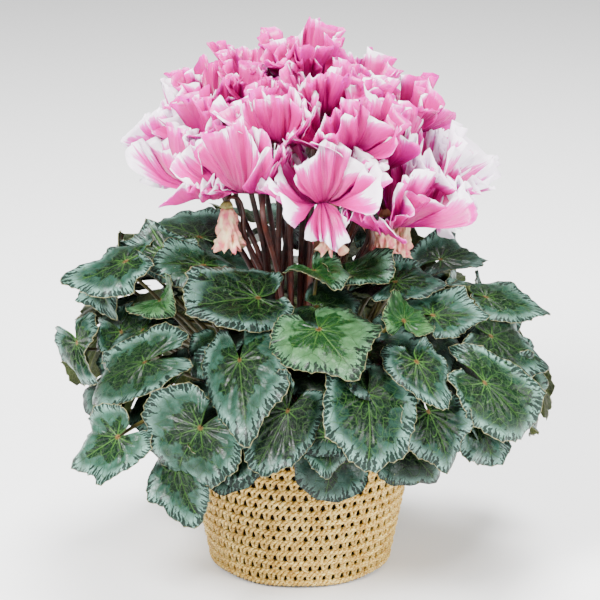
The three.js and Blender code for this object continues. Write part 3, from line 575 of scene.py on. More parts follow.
def petal_material(settings):
    """Satin petal tissue.

    Light soaks a few millimetres into it, so folds glow instead of going grey. It is hot pink at the mouth,
    streaked paler outwards, and nearly white along the frill. Painted highlight makes the crests of the
    frills and pleats paler, and painted shade darkens their troughs.
    """
    material, tree, shader = new_material("satin_petal")
    spot = node(tree, "ShaderNodeAttribute", attribute_name="petal_place")["Vector"]
    across, out, seed = node(tree, "ShaderNodeSeparateXYZ", [spot])
    spot = node(tree, "ShaderNodeAttribute", attribute_name="petal_look")["Vector"]
    pale, painted_crest_shading, pleat = node(tree, "ShaderNodeSeparateXYZ", [spot])
    # Streaks about 6 mm wide and 40 mm long, and ribs about 0.9 mm wide
    patterns = []
    for wide, long, detail in ((6, 40, 4.0), (0.9, 45, 2.0)):
        x = node(tree, "ShaderNodeMath", [across, PETAL.half_width / wide], operation="MULTIPLY")[0]
        y = node(tree, "ShaderNodeMath", [out, PETAL.length / long], operation="MULTIPLY")[0]
        z = node(tree, "ShaderNodeMath", [seed, 23.0], operation="MULTIPLY")[0]
        spot = node(tree, "ShaderNodeCombineXYZ", [x, y, z])[0]
        inputs = {"Vector": spot, "Scale": 1.0, "Detail": detail}
        patterns.append(node(tree, "ShaderNodeTexNoise", inputs)["Fac"])
    streaks, ribs = patterns
    bowed = node(tree, "ShaderNodeMath", [across, across], operation="MULTIPLY")[0]
    hem = node(tree, "ShaderNodeMath", [out, 14.0], operation="POWER")[0]
    paleness = out
    # Painted highlight and shade: the crest and pleat heights make the crests of the frills and pleats paler
    # and their troughs darker
    for pattern, middle, weight in (
        (streaks, 0.5, 0.4),
        (bowed, 0.0, 0.1),
        (pale, 0.5, 0.75),
        (ribs, 0.5, 0.34),
        (painted_crest_shading, 0.0, 0.12),
        (hem, 0.0, 0.1),
        (pleat, 0.0, 0.08),
    ):
        part = node(tree, "ShaderNodeMath", [pattern, middle], operation="SUBTRACT")[0]
        paleness = node(tree, "ShaderNodeMath", [part, weight, paleness], operation="MULTIPLY_ADD")[0]
    # From the deep red of the mouth through hot pink to the nearly white margin
    stops = [(0.0, "#5a0030"), (0.34, "#94005a"), (0.68, settings.petal)]
    stops += [(0.85, "#d0148e"), (0.95, "#e46cbc"), (1.0, settings.margin)]
    colour = node(tree, "ShaderNodeValToRGB", [paleness], stops)[0]
    height = node(tree, "ShaderNodeMath", [streaks, 3.0, ribs], operation="MULTIPLY_ADD")[0]
    bump = node(tree, "ShaderNodeBump", {"Strength": 0.8, "Distance": 0.8 * MM, "Height": height})[0]
    finish = {"Base Color": colour, "Normal": bump, "Roughness": 0.36, "Specular IOR Level": 0.42}
    # Light spreads about 4 mm in the tissue, red and blue further than green
    finish |= {"Subsurface Weight": 0.35, "Subsurface Radius": (1.0, 0.55, 0.95), "Subsurface Scale": 4 * MM}
    fill(tree, shader, finish)
    return material


def plain_material(name, size, stops, roughness, depth):
    """A patchy natural surface.

    Noise with patches of a size in mm draws its colour and raises bumps of a depth in mm, so that no face
    looks evenly painted. A comment at each use says what the real surface is and what it gives the eye.
    """
    material, tree, shader = new_material(name)
    place = node(tree, "ShaderNodeTexCoord")["Object"]
    inputs = {"Vector": place, "Scale": 1 / (size * MM), "Detail": 4.0}
    patch = node(tree, "ShaderNodeTexNoise", inputs)["Fac"]
    colour = node(tree, "ShaderNodeValToRGB", [patch], stops)[0]
    bump = node(tree, "ShaderNodeBump", {"Strength": 0.8, "Distance": depth * MM, "Height": patch})[0]
    finish = {"Base Color": colour, "Normal": bump, "Roughness": roughness}
    fill(tree, shader, finish)
    return material


def straw_material(settings):
    """Dry twisted straw.

    It glints a little along the fibres and is pale gold on the crests of the strands. Deep between them
    it is painted dark brown as shade, which makes every stitch stand out.
    """
    material, tree, shader = new_material("dry_twisted_straw")
    place = node(tree, "ShaderNodeTexCoord")["Object"]
    x, y, z = node(tree, "ShaderNodeSeparateXYZ", [place])
    flat = node(tree, "ShaderNodeCombineXYZ", [x, y, 0.0])[0]
    radius = node(tree, "ShaderNodeVectorMath", [flat], operation="LENGTH")["Value"]
    # Painted shade: the further a point lies behind the pot's outer face, between the strands, the darker it
    # is painted
    slope = (COVER.rim_radius - COVER.base_radius) / COVER.height
    wall = node(tree, "ShaderNodeMath", [z, -slope, radius], operation="MULTIPLY_ADD")[0]
    deep, high = (COVER.base_radius - 1.6) * MM, (COVER.base_radius + 1.8) * MM
    painted_crest_shading = node(tree, "ShaderNodeMapRange", [wall, deep, high, 0.0, 1.0])[0]
    # Fibre streaks 2 mm long and 0.5 mm wide, and sun-bleached patches 12 mm across
    stretched = node(tree, "ShaderNodeMapping", {"Vector": place, "Scale": (1 / 2, 1 / 2, 1 / 0.5)})[0]
    inputs = {"Vector": stretched, "Scale": 1 / MM, "Detail": 3.0}
    fibre = node(tree, "ShaderNodeTexNoise", inputs)["Fac"]
    broad = node(tree, "ShaderNodeTexNoise", {"Vector": place, "Scale": 1 / (12 * MM), "Detail": 2.0})["Fac"]
    stops = [(0.34, "#8a611a"), (0.5, settings.straw), (0.66, "#fff2a6")]
    light = node(tree, "ShaderNodeValToRGB", [fibre], stops)[0]
    tint = node(tree, "ShaderNodeValToRGB", [broad], [(0.35, "#ddd2ae"), (0.65, "#ffffff")])[0]
    inputs = {0: 1.0, 6: light, 7: tint}
    light = node(tree, "ShaderNodeMix", inputs, data_type="RGBA", blend_type="MULTIPLY")[2]
    # Painted shade: dark brown deep between the strands, the straw's own colour on their crests
    inputs = {0: painted_crest_shading, 6: linear("#2a1a06"), 7: light}
    colour = node(tree, "ShaderNodeMix", inputs, data_type="RGBA")[2]
    bump = node(tree, "ShaderNodeBump", {"Strength": 0.5, "Distance": 0.3 * MM, "Height": fibre})[0]
    finish = {"Base Color": colour, "Normal": bump, "Roughness": 0.45}
    fill(tree, shader, finish)
    return material


# Leaves


def leaf_frame(leaf):
    """Gives a leaf its place on the dome and its directions across, along and out of the blade."""
    out = outward(leaf.azimuth)
    rise = math.radians(leaf.elevation)
    heading = math.radians(leaf.heading)
    leaf.centre = out * DOME.across * math.cos(rise)
    leaf.centre[2] = DOME_CENTRE[2] + DOME.up * math.sin(rise)
    east = np.array([math.cos(math.radians(leaf.azimuth)), math.sin(math.radians(leaf.azimuth)), 0])
    down = unit(out * DOME.across * math.sin(rise) - np.array([0, 0, DOME.up * math.cos(rise)]))
    leaf.along = down * math.cos(heading) + east * math.sin(heading)
    leaf.normal = -np.cross(east, down)
    leaf.across = -np.cross(leaf.normal, leaf.along)
    leaf.level = 0.0
    return leaf


def on_dome(leaf, x, y, height):
    """Points of a leaf's plane laid down on the dome and raised from it by a height."""
    x, y, height = np.broadcast_arrays(x, y, height)
    flat = leaf.centre - DOME_CENTRE + x[..., None] * leaf.across + y[..., None] * leaf.along
    level = np.sqrt((flat[..., 0] ** 2 + flat[..., 1] ** 2) / DOME.across**2 + flat[..., 2] ** 2 / DOME.up**2)
    surface = flat / level[..., None]
    return surface + unit(surface) * height[..., None] + DOME_CENTRE


def in_leaf_plane(leaf, points):
    """Where points lie across and along a leaf, seen from the dome's centre, and whether they are ahead."""
    rays = points - DOME_CENTRE
    to_plane = leaf.centre - DOME_CENTRE
    share = to_plane @ leaf.normal / (rays @ leaf.normal)
    meet = rays * share[..., None] - to_plane
    return meet @ leaf.across, meet @ leaf.along, share > 0


def margin_at(leaf, angle):
    """The reach of a leaf's margin from its stalk at an angle, for a blade as wide as it is long."""
    point = leaf.point * np.exp(-((angle / 0.3) ** 2))
    shape = 0.5 + (0.5 - leaf.point) * np.cos(angle / 2) + point
    return leaf.length * shape * (1 + 0.03 * np.sin(5 * angle + leaf.phase))


def polar(leaf, x, y):
    """The angle of a place on a leaf and its share of the way from the stalk to the margin."""
    angle = np.arctan2(x / leaf.narrow, y)
    return angle, np.hypot(x / leaf.narrow, y) / margin_at(leaf, angle)


def relief(leaf, x, y):
    """The height of a place on a leaf over its plane."""
    angle, reached = polar(leaf, x, y)
    share = np.minimum(1.05, reached)
    wave = leaf.wave * share**3 * np.sin(leaf.waves * angle + leaf.phase)
    droop = -leaf.droop * leaf.length * np.maximum(0, y / leaf.length - 0.45) ** 2
    return leaf.rise * y + leaf.fold * np.abs(x) * np.minimum(1, share * 1.5) + wave + droop


def all_leaves():
    """The outer leaves, first those at the front and sides and then the rows round the back."""
    rows = [list(row) for row in FRONT_LEAVES]
    for row in BACK_ROWS:
        for k in range(row.count):
            item = len(rows)
            azimuth = row.start + (k + 0.5) * (row.end - row.start) / row.count + either_way(item, 1, 6)
            elevation = row.elevation + either_way(item, 2, 6)
            length = row.length * (0.9 + 0.2 * draw(item, 4))
            width = row.length * (1.25 + 0.3 * draw(item, 11))
            fold = either_way(item, 5, 0.3)
            rise = row.rise * (0.8 + 0.4 * draw(item, 12))
            rows.append([azimuth, elevation, either_way(item, 3, 50), length, width, fold, rise])
    leaves = []
    for item, (azimuth, elevation, heading, length, width, fold, rise) in enumerate(rows):
        leaf = Values(item=item, azimuth=azimuth, elevation=elevation, heading=heading)
        leaf.length, leaf.fold, leaf.rise = length, fold, rise
        leaf.narrow = width / (BLADE.proportion * length)
        leaf.point = 0.1 + 0.1 * draw(item, 6)
        leaf.phase = TURN * draw(item, 7)
        leaf.wave = 1.6 + 2.2 * draw(item, 8)
        leaf.waves = 4 + math.floor(3 * draw(item, 9))
        leaf.droop = 0.15 + 0.35 * draw(item, 10)
        leaves.append(leaf_frame(leaf))
    return leaves


def take_samples(leaf):
    """Keeps points of a leaf on three rings, where its distance from other leaves is measured."""
    angle = (np.arange(SAMPLES_ROUND) + 0.5) / SAMPLES_ROUND * 2 * math.pi - math.pi
    angle, share = [grid.ravel() for grid in np.meshgrid(angle, SAMPLE_RINGS, indexing="ij")]
    reach = share * margin_at(leaf, angle)
    x = np.append(0, leaf.narrow * reach * np.sin(angle))
    y = np.append(0, reach * np.cos(angle))
    leaf.samples = (x, y, on_dome(leaf, x, y, 0.0))


def covers(leaf, x, y, spare):
    """Whether a leaf, grown by a spare margin in mm, covers a place."""
    return polar(leaf, x, y)[1] < 1 + spare / leaf.length


def heights_over(leaf, other):
    """The least and greatest height of a leaf over another where one covers the other."""
    heights = []
    for inner, onto, sign in ((leaf, other, 1), (other, leaf, -1)):
        x, y, points = inner.samples
        u, v, ahead = in_leaf_plane(onto, points)
        shared = ahead & covers(onto, u, v, 3)
        heights.append((sign * (relief(inner, x, y) - relief(onto, u, v)))[shared])
    heights = np.concatenate(heights)
    return (heights.min(), heights.max()) if len(heights) else (math.inf, -math.inf)


def over_base(leaf, other):
    """Whether a leaf covers the place where another's stalk joins its blade."""
    x, y, ahead = in_leaf_plane(leaf, other.centre[None])
    return bool(ahead[0] and covers(leaf, x, y, 4)[0])


def barred(leaf, other):
    """The levels that another leaf keeps a leaf from."""
    least, greatest = heights_over(leaf, other)
    low = -math.inf if over_base(leaf, other) else other.level - BLADE.clearance - greatest
    high = math.inf if over_base(other, leaf) else other.level + BLADE.clearance - least
    if least == math.inf and low > -math.inf and high < math.inf:
        return None
    return low, high


def lay_leaves():
    """Lays the leaves in turn, each at the free level nearest to the dome, and leaves out one with none."""
    laid = []
    for leaf in all_leaves():
        take_samples(leaf)
        bars = [bar for bar in (barred(leaf, other) for other in laid) if bar]
        levels = [0.0] + [level for bar in bars for level in bar if math.isfinite(level)]
        free = [v for v in levels if all(v <= low + 1e-6 or v >= high - 1e-6 for low, high in bars)]
        if free:
            leaf.level = min(free, key=lambda v: -BLADE.inner_cost * v if v < 0 else v)
            laid.append(leaf)
    return laid


def by_sector(items, shoot):
    """The items of each sector, in order round the plant, with the foot of each one's stalk."""
    groups = [[] for _ in range(shoot.sectors)]
    for item in items:
        groups[int((item.azimuth % 360) // (360 / shoot.sectors))].append(item)
    for sector, group in enumerate(groups):
        azimuth = (sector + 0.5) / shoot.sectors * 360
        group.sort(key=lambda item: item.azimuth % 360)
        for k, item in enumerate(group):
            sideways = outward(azimuth + 90) * shoot.spread * (k - (len(group) - 1) / 2)
            item.foot = outward(azimuth) * shoot.ring + sideways
            item.foot[2] = CORM_TOP + SEAT_GAP + shoot.height * 0.6
    return groups


LEAF_SINUS = 0.34
LEAF_COLUMNS = 75
INNER_COLUMNS = 43
LEAF_SHARES = np.array([0.07, 0.18, 0.3, 0.42, 0.54, 0.65, 0.75, 0.84, 0.92, 0.97, 1.0])
VEIN_STEP = 0.7
# Teeth and the notch by the stalk in shares of a leaf's reach, the notch's width in radians, ripples in mm
MARGIN = Values(tooth=0.014, notch=0.3, notch_width=0.22, ripple=0.35)
# A leaf deeper than this under the dome, in mm, is painted as dark as those deep in the plant: painted shade
# for the shadow of the leaves over it
DEEP_LEVEL = -22
DEEP_SHADE = 0.4
# A 45 mm leaf has a main vein every 31 mm of its margin, and a dash every 2.6 mm
DASHES_PER_TURN = 45 * VEIN_STEP / 2.6
# Leaves deep in the plant: elevation, how many, length and how far under the outer leaves
INNER_ROWS = [
    Values(elevation=62, count=7, length=42, under=22),
    Values(elevation=40, count=15, length=52, under=24),
    Values(elevation=20, count=15, length=54, under=28),
    Values(elevation=9, count=14, length=42, under=26),
]
# The number of the first of them, well past the numbers of the outer leaves
FIRST_INNER = 100


def inner_leaves():
    """Leaves deep in the plant, which close the gaps among the outer ones."""
    leaves = []
    for row in INNER_ROWS:
        for k in range(row.count):
            item = FIRST_INNER + len(leaves)
            azimuth = (k + 0.7 * draw(item, 71)) * 360 / row.count
            leaf = Values(item=item, azimuth=azimuth, elevation=row.elevation + either_way(item, 72, 8))
            leaf.heading = either_way(item, 73, 100)
            leaf.length = row.length * (0.9 + 0.3 * draw(item, 74))
            leaf.fold = either_way(item, 75, 0.5)
            leaf.rise = 0.2 + 0.3 * draw(item, 76)
            leaf.narrow = 1
            leaf.point = 0.15
            leaf.phase = TURN * draw(item, 77)
            leaf.wave = 3.5
            leaf.waves = 4
            leaf.droop = 0.3
            leaf_frame(leaf)
            leaf.level = -row.under - 8 * draw(item, 78)
            leaves.append(leaf)
    return leaves


def leaf_shell(leaf, settings, columns, shares):
    """The fine blade on the same surface as its solid, with frilled and toothed margin and quilted veins."""
    angle = np.linspace(-1, 1, columns) * (math.pi - LEAF_SINUS)
    share = np.concatenate([[0.0], shares])
    share, angle = np.meshgrid(share, angle, indexing="ij")
    from_notch = (math.pi - LEAF_SINUS - np.abs(angle)) / MARGIN.notch_width
    lobe = 1 - MARGIN.notch * np.exp(-(from_notch**2))
    tooth = 1 + MARGIN.tooth * np.where(np.arange(columns) % 2, 1, -1) * (share > 0.99)
    lobes = 0.03 * np.sin(7 * angle + 2 * leaf.phase) + 0.02 * np.sin(12 * angle + leaf.phase)
    lobes = lobes + 0.014 * np.sin(23 * angle)
    scallop = 1 + share**4 * lobes
    full = margin_at(leaf, angle) * lobe
    reach = share * full * tooth * scallop
    x, y = leaf.narrow * reach * np.sin(angle), reach * np.cos(angle)
    turn = angle / VEIN_STEP
    between = np.abs(turn - np.round(turn)) * 2
    lateral = between * VEIN_STEP / 2 * reach
    frill = np.sin(13 * angle + leaf.phase) + 0.6 * np.sin(29 * angle + 2 * leaf.phase)
    frill = settings.frill / MM * share**5 * frill
    curl = settings.curl / MM * smooth_step(0.4, 1.05, share) ** 2
    curl = curl * (0.2 + np.sin(2 * angle + 3 * leaf.phase))
    quilt = settings.quilt / MM * np.sin(math.pi * np.minimum(1, between)) * np.sin(math.pi * share) ** 0.8
    ripple = MARGIN.ripple * np.sin(0.8 * (reach - lateral)) * np.sin(math.pi * share)
    tilt = either_way(leaf.item, 55, 0.3) * x + 0.3 * (draw(leaf.item, 56) - 0.6) * (y - PETIOLE_SEAT)
    height = leaf.level + relief(leaf, x, y) + tilt + 0.6 * frill + curl + quilt + ripple
    middle = on_dome(leaf, x, y, height).reshape(-1, 3)
    up = unit(middle - DOME_CENTRE)
    half = (settings.thickness / MM / 2 * (1 - 0.6 * smooth_step(0.9, 1.0, share))).ravel()
    points, faces = shell(middle, up, half, len(shares) + 1, columns)
    faces = [face[:, ::-1] for face in faces]
    seed = draw(leaf.item, 51)
    young = YOUNG_LEAVES.get(leaf.item, 0.12 * draw(leaf.item, 52))
    silver = 0.25 + 0.75 * draw(leaf.item, 53)
    # Outer leaves differ at random in tone; a deep leaf is darkened instead, as painted shade
    tone_and_shade = 0.5 + 0.4 * draw(leaf.item, 54) if leaf.level > DEEP_LEVEL else DEEP_SHADE
    looks = {
        "leaf_place": on_both_faces(np.stack([lateral, reach, share], -1)),
        "leaf_turn": on_both_faces(np.stack([angle, between, np.full_like(angle, seed)], -1)),
        "leaf_look": np.array([young, silver, tone_and_shade]),
    }
    # The upper face and the rim have the first material, and the underside has the second
    return points, faces, [0, 1, 0], looks


def petiole_path(leaf):
    """The way of a leaf's stalk from its shoot over the pot's rim to the blade."""
    lift = leaf.level + float(relief(leaf, np.array(0.0), np.array(float(PETIOLE_SEAT)))) - PETIOLE.sunk
    end = on_dome(leaf, 0.0, float(PETIOLE_SEAT), lift)
    before = end - unit(end - DOME_CENTRE) * PETIOLE.run
    low = max(0, 1 - (end[2] - CORM_TOP) / PETIOLE_ARCH.low_leaf)
    knee = leaf.foot + (before - leaf.foot) * PETIOLE.knee
    knee[2] = max(knee[2], CORM_TOP + PETIOLE_ARCH.over_rim) + PETIOLE_ARCH.knee * low
    far = math.hypot(end[0], end[1]) > PETIOLE_ARCH.far_leaf
    before[2] += PETIOLE_ARCH.end * low * (1 if far else 0.5)
    return curve_points([leaf.foot, knee, before, end], PETIOLE.steps)


# Outline of a shoot, in shares of its radius and height
SHOOT_OUTLINE = [[0, 0], [0.95, 0], [1, 0.2], [0.93, 0.6], [0.78, 0.93], [0.7, 1], [0, 1]]
SHOOT_SIDES = 16


def shoot_part(shoot, sector, number):
    """A knobbly woody shoot on the corm."""

    def displace(points):
        return swollen(points, 1 + 0.08 * np.sin(3 * turns(points) + points[:, 2] * 1.4 + sector))

    points, faces = lathe(np.array(SHOOT_OUTLINE) * [shoot.radius, shoot.height], SHOOT_SIDES, displace)
    place = outward((sector + 0.5) / shoot.sectors * 360) * shoot.ring
    return points + place + np.array([0, 0, CORM_TOP + SEAT_GAP]), faces, number, {}


class CYCLAMEN_OT_leaves(bpy.types.Operator):
    """Builds the sprays of leaves, one piece for each sector of the plant"""

    bl_idname = "cyclamen.leaves"
    bl_label = "Leaves"

    def execute(self, context):
        settings = context.scene.cyclamen_foliage
        materials = [
            leaf_upper_material(settings),
            leaf_under_material(),
            # Fleshy leaf stalks: smooth skin with a long soft highlight
            plain_material("fleshy_leaf_stalk", 6, [(0.3, "#372c10"), (0.7, "#565022")], 0.45, 0.15),
            # Corky shoots: dead matt bark
            plain_material("corky_shoot", 3, [(0.3, "#3d2a1d"), (0.7, "#6a4b34")], 0.9, 0.6),
        ]
        deep = by_sector(inner_leaves(), LEAF_SHOOT)
        for sector, group in enumerate(by_sector(lay_leaves(), LEAF_SHOOT)):
            if not group:
                continue
            parts = [shoot_part(LEAF_SHOOT, sector, 3)]
            outer, inner = (LEAF_COLUMNS, LEAF_SHARES), (INNER_COLUMNS, LEAF_SHARES[1::2])
            for leaf, grid in [(leaf, outer) for leaf in group] + [(leaf, inner) for leaf in deep[sector]]:
                parts.append(leaf_shell(leaf, settings, *grid))
                path = petiole_path(leaf)
                radii = np.linspace(PETIOLE.foot_radius, PETIOLE.end_radius, len(path))
                parts.append((*tube(path, radii, PETIOLE.sides), 2, {}))
            name = f"leaves_{sector + 1:02d}"
            add_piece(name, new_mesh(name, parts), materials, "leaf", f"leaf_spray_{sector + 1:02d}")
        return {"FINISHED"}


# Blooms


def all_blooms():
    """The open blooms of all rings, each with its hub, its axis and the side that its stalk comes from."""
    blooms = []
    for ring in BLOOM_RINGS:
        for k in range(ring.count):
            item = len(blooms)
            azimuth = ring.turn + (k + either_way(item, 21, HEAD_DRAWS.round)) * 360 / ring.count
            out = outward(azimuth)
            reach = ring.radius + either_way(item, 22, HEAD_DRAWS.out)
            step = HEAD.stagger * (-1 if k % 2 else 1)
            height = ring.height + step + either_way(item, 23, HEAD_DRAWS.up)
            hub = out * reach + np.array([HEAD.shift, 0, height])
            hub[2] += HEAD.skew * hub[0]
            tilt = math.radians(ring.lean + either_way(item, 24, HEAD_DRAWS.tilt))
            sway = math.radians(either_way(item, 26, HEAD_DRAWS.sway))
            east = np.cross([0, 0, 1], out)
            axis = unit(out * math.sin(tilt) + east * math.sin(sway) + np.array([0, 0, math.cos(tilt)]))
            side = unit(-out + out @ axis * axis)
            bloom = Values(item=item, azimuth=azimuth, hub=hub, axis=axis, side=side)
            bloom.reach, bloom.bend = STALK.reach, 1
            bloom.turned = np.cross(axis, side)
            bloom.open = 0.38 + 0.42 * draw(item, 25)
            bloom.middle = hub + axis * HEAD.cell_depth
            bloom.size = ring.size
            blooms.append(bloom)
    return blooms


def pressed(bloom, blooms, points, spread):
    """Bends the space round a bloom, so that no point goes further than a spread past the plane halfway
    to a neighbour.

    Points that lie one behind another stay in that order, so pressed petals don't cross.
    """
    for other in [*blooms, *blooms]:
        if other is bloom:
            continue
        away = other.middle - bloom.middle
        limit = np.linalg.norm(away) / 2 - HEAD.cell_margin + spread
        soft = HEAD.softness
        away = unit(away)
        past = np.maximum(0, (points - bloom.middle) @ away - limit + soft)
        points = points + (soft * (1 - np.exp(-past / soft)) - past)[..., None] * away
    return points


# The petals of a bloom: the place round it, how far each opens, its breadth and length, and its rows
# and columns of points. The first and fifth stand up behind the stalk's hook, and three small ones fill
# the crown.
PETALS = [
    Values(place=0, opening=0.1, breadth=0.8, share=1.0, rows=11, columns=51),
    Values(place=1, opening=1.05, breadth=0.98, share=1.0, rows=11, columns=51),
    Values(place=2, opening=0.3, breadth=0.9, share=1.0, rows=11, columns=51),
    Values(place=3, opening=1.05, breadth=0.98, share=1.0, rows=11, columns=51),
    Values(place=4, opening=0.1, breadth=0.8, share=1.0, rows=11, columns=51),
    Values(place=2.15, opening=0.1, breadth=0.85, share=0.92, rows=9, columns=43),
    Values(place=0.55, opening=0.5, breadth=0.8, share=0.86, rows=9, columns=43),
    Values(place=3.45, opening=0.5, breadth=0.8, share=0.86, rows=9, columns=43),
]
MAIN_PETALS = 5
SMALL_PETALS = 3
# The draws of the small petals start after those of all main ones
SMALL_DRAWS = 500
# A hanging petal is narrower and shorter, and the bloom at the very front is smaller than its neighbours
NARROW_HANGING = 0.62
SHORT_HANGING = 0.75
FRONT_LENGTH = 0.86
# How far petals of neighbours may reach past each other, in mm
PETAL_OVERLAP = 15
# Twist of a standing petal, and the tilt by which a side petal turns its face to the outside
TWIST = 0.1
FACED = 0.45
# How much of the fan's spread goes round a curve instead of along a circle
FAN_CURVE = 0.12
# Heights in mm at the margin: pleats along a petal, crumples across it, and its roll to the outside
PLEATS = 1.8
CRUMPLE = 2.2
ROLL = Values(least=5, spread=10)


def petal_shell(bloom, blooms, number, settings):
    """One petal on the same surface as its solid, with the fine frill of its margin."""
    petal = PETALS[number]
    u = np.linspace(-1, 1, petal.columns)
    u = 0.6 * u + 0.4 * np.sin(math.pi / 2 * u)
    v, u = np.meshgrid(np.linspace(0, 1, petal.rows) ** 0.8, u, indexing="ij")
    small = number >= MAIN_PETALS
    key = SMALL_DRAWS + bloom.item * SMALL_PETALS + number if small else bloom.item * MAIN_PETALS + number
    opened = petal.opening + either_way(key, 31, 0.2) + 0.5 * (bloom.open - 0.6)
    length = PETAL.length * bloom.size * petal.share * (0.94 + 0.12 * draw(key, 32))
    hangs = HANGING.get(bloom.item, 0.0) if number == 2 else 0.0
    length *= 1 - (1 - SHORT_HANGING) * hangs
    length *= FRONT_LENGTH if bloom.item == 0 and number != 2 else 1
    # The end of the petal's middle line and the point that bends it, out from the axis and up
    standing = np.array([0.38 + 0.5 * opened, 0.98 - 0.42 * opened, 0.3 + 0.12 * opened, -2 / length])
    hanging = np.array([0.55, -0.62, 0.42, 2 / length])
    end_out, end_up, bend_out, bend_up = length * ((1 - hangs) * standing + hangs * hanging)
    phase = TURN * draw(key, 35)
    teeth = np.where(np.arange(petal.columns) % 2, 1, -1) * (v > 0.99)
    folds = 17 * u + 1.4 * np.sin(3 * u + phase) + 2 * phase
    u = u - 0.02 * v**4 * np.sin(2 * folds + 4.4 * v)
    scallops = 0.015 * np.sin(folds + 1) + 0.035 * np.sin(4 * u + 2 * phase)
    scallops = scallops + 0.015 * np.sin(9 * u - phase)
    fringe = 1 + v**5 * scallops + 0.004 * teeth
    rounded_end = 0.68 + 0.32 * np.sqrt(np.maximum(0, 1 - np.abs(u) ** 2.6))
    t = v * rounded_end * fringe
    out = MOUTH.radius * (1 - t) ** 2 + bend_out * 2 * t * (1 - t) + end_out * t * t
    up = MOUTH.rise * (1 - t) ** 2 + bend_up * 2 * t * (1 - t) + end_up * t * t
    slope_out = 2 * (1 - t) * (bend_out - MOUTH.radius) + 2 * t * (end_out - bend_out)
    slope_up = 2 * (1 - t) * (bend_up - MOUTH.rise) + 2 * t * (end_up - bend_up)
    steep = np.hypot(slope_out, slope_up)
    broad = PETAL.half_width * petal.breadth * (1 - (1 - NARROW_HANGING) * hangs)
    half = broad * (0.08 + 0.92 * np.sin(math.pi / 2 * np.minimum(1, t * 1.15) ** 1.5))
    middle_angle = math.pi + math.radians((petal.place - 2) * PETAL.spacing)
    spread = u * half / out
    ahead = 1 + FAN_CURVE * (np.cos(spread) - 1)
    sideways = spread + FAN_CURVE * (np.sin(spread) - spread)
    angle = middle_angle + np.arctan2(sideways, ahead)
    wider = np.hypot(ahead, sideways)
    radial = np.cos(angle)[..., None] * bloom.side + np.sin(angle)[..., None] * bloom.turned
    depth = PETAL.ruffle * (0.9 + 0.8 * draw(key, 34)) * (1 - 0.5 * np.abs(u) ** 3)
    ruffle = depth * v * v * np.cos(3 * math.pi * u + either_way(key, 33, 1.2) + 1.5 * (v - 0.5))
    pleats = PLEATS * v * np.sin(13 * u + 2.5 * np.sin(2 * u + phase)) * np.minimum(1, half / 12)
    crumple = CRUMPLE * v * np.sin(8 * u + 6 * v + phase) * np.sin(7 * v - 6 * u + 2 * phase)
    wave = np.sin(folds + 2.2 * v)
    wave = wave * (1.4 - 0.4 * wave * wave)
    uneven = 0.8 + 0.3 * np.sin(3 * u + 2 * phase)
    waves = wave * uneven + 0.2 * np.sin(27 * u - phase + 4 * v)
    frill = settings.frill / MM * v**3 * waves
    faced = FACED * (petal.place - 2) if petal.opening > 0.4 else TWIST
    raised = u * half * faced * np.minimum(1, 2 * t) + ruffle + frill + pleats + crumple
    rolled = (ROLL.least + ROLL.spread * draw(key, 36)) * v**3 * (0.65 + 0.35 * np.sin(4.5 * u + phase))
    across = out * wider - slope_up / steep * raised + rolled
    along = up + slope_out / steep * raised - 0.45 * rolled
    middle = bloom.hub + radial * across[..., None] + bloom.axis * along[..., None]
    middle = pressed(bloom, blooms, middle, PETAL_OVERLAP * v)
    normals = unit(np.cross(np.gradient(middle, axis=1), np.gradient(middle, axis=0)) + 1e-9)
    half_thick = settings.thickness / MM / 2 * (1 - 0.5 * smooth_step(0.85, 1.0, v))
    points, faces = shell(
        middle.reshape(-1, 3), normals.reshape(-1, 3), half_thick.ravel(), petal.rows, petal.columns
    )
    pale = PALE_BLOOMS.get(bloom.item, 0.3 * draw(bloom.item, 61)) + either_way(key, 62, 0.2)
    place = np.stack([u, v, np.full_like(u, draw(key, 63))], -1)
    # The heights of the frills and pleats, which the petal material turns into painted highlight on their
    # crests and painted shade in their troughs
    look = np.stack([np.full_like(u, pale), (frill + ruffle) / 6, pleats], -1)
    return points, faces, 0, {"petal_place": on_both_faces(place), "petal_look": on_both_faces(look)}


def on_bloom(bloom, points):
    """Points of a part that is made upright at the origin, moved to its bloom."""
    basis = np.stack([bloom.side, np.cross(bloom.axis, bloom.side), bloom.axis])
    return points @ basis + bloom.hub


def throat_part(bloom):
    """The short tube at the top of the mouth, from which the petals turn back."""
    low, top, radius = MOUTH.rise, MOUTH.rise + MOUTH.depth, MOUTH.radius
    profile = [
        [0, low + 0.6], [radius - 1, low + 0.4], [radius + 0.4, low], [radius, low + 2],
        [3.4, top - 2], [1.6, top - 0.3], [0, top],
    ]
    points, faces = lathe(profile, 20)
    looks = {"petal_place": np.array([0, 0.02, draw(bloom.item, 64)]), "petal_look": np.array([0.3, 0, 0])}
    return on_bloom(bloom, points), faces, 0, looks


def faded_blooms():
    """The faded blooms, each with its hub, its axis and the side that its stalk comes from."""
    faded = []
    for item, (azimuth, distance, height) in enumerate(FADED_BLOOMS):
        out = outward(azimuth)
        tilt = math.radians(FADED.tilt * draw(item, 41))
        axis = out * math.sin(tilt) + np.array([0, 0, math.cos(tilt)])
        side = unit(-out + out @ axis * axis)
        hub = out * distance + np.array([HEAD.shift, 0, height])
        bloom = Values(item=item, azimuth=azimuth, hub=hub, axis=axis, side=side)
        bloom.reach, bloom.bend = FADED.reach, FADED.bend
        faded.append(bloom)
    return faded


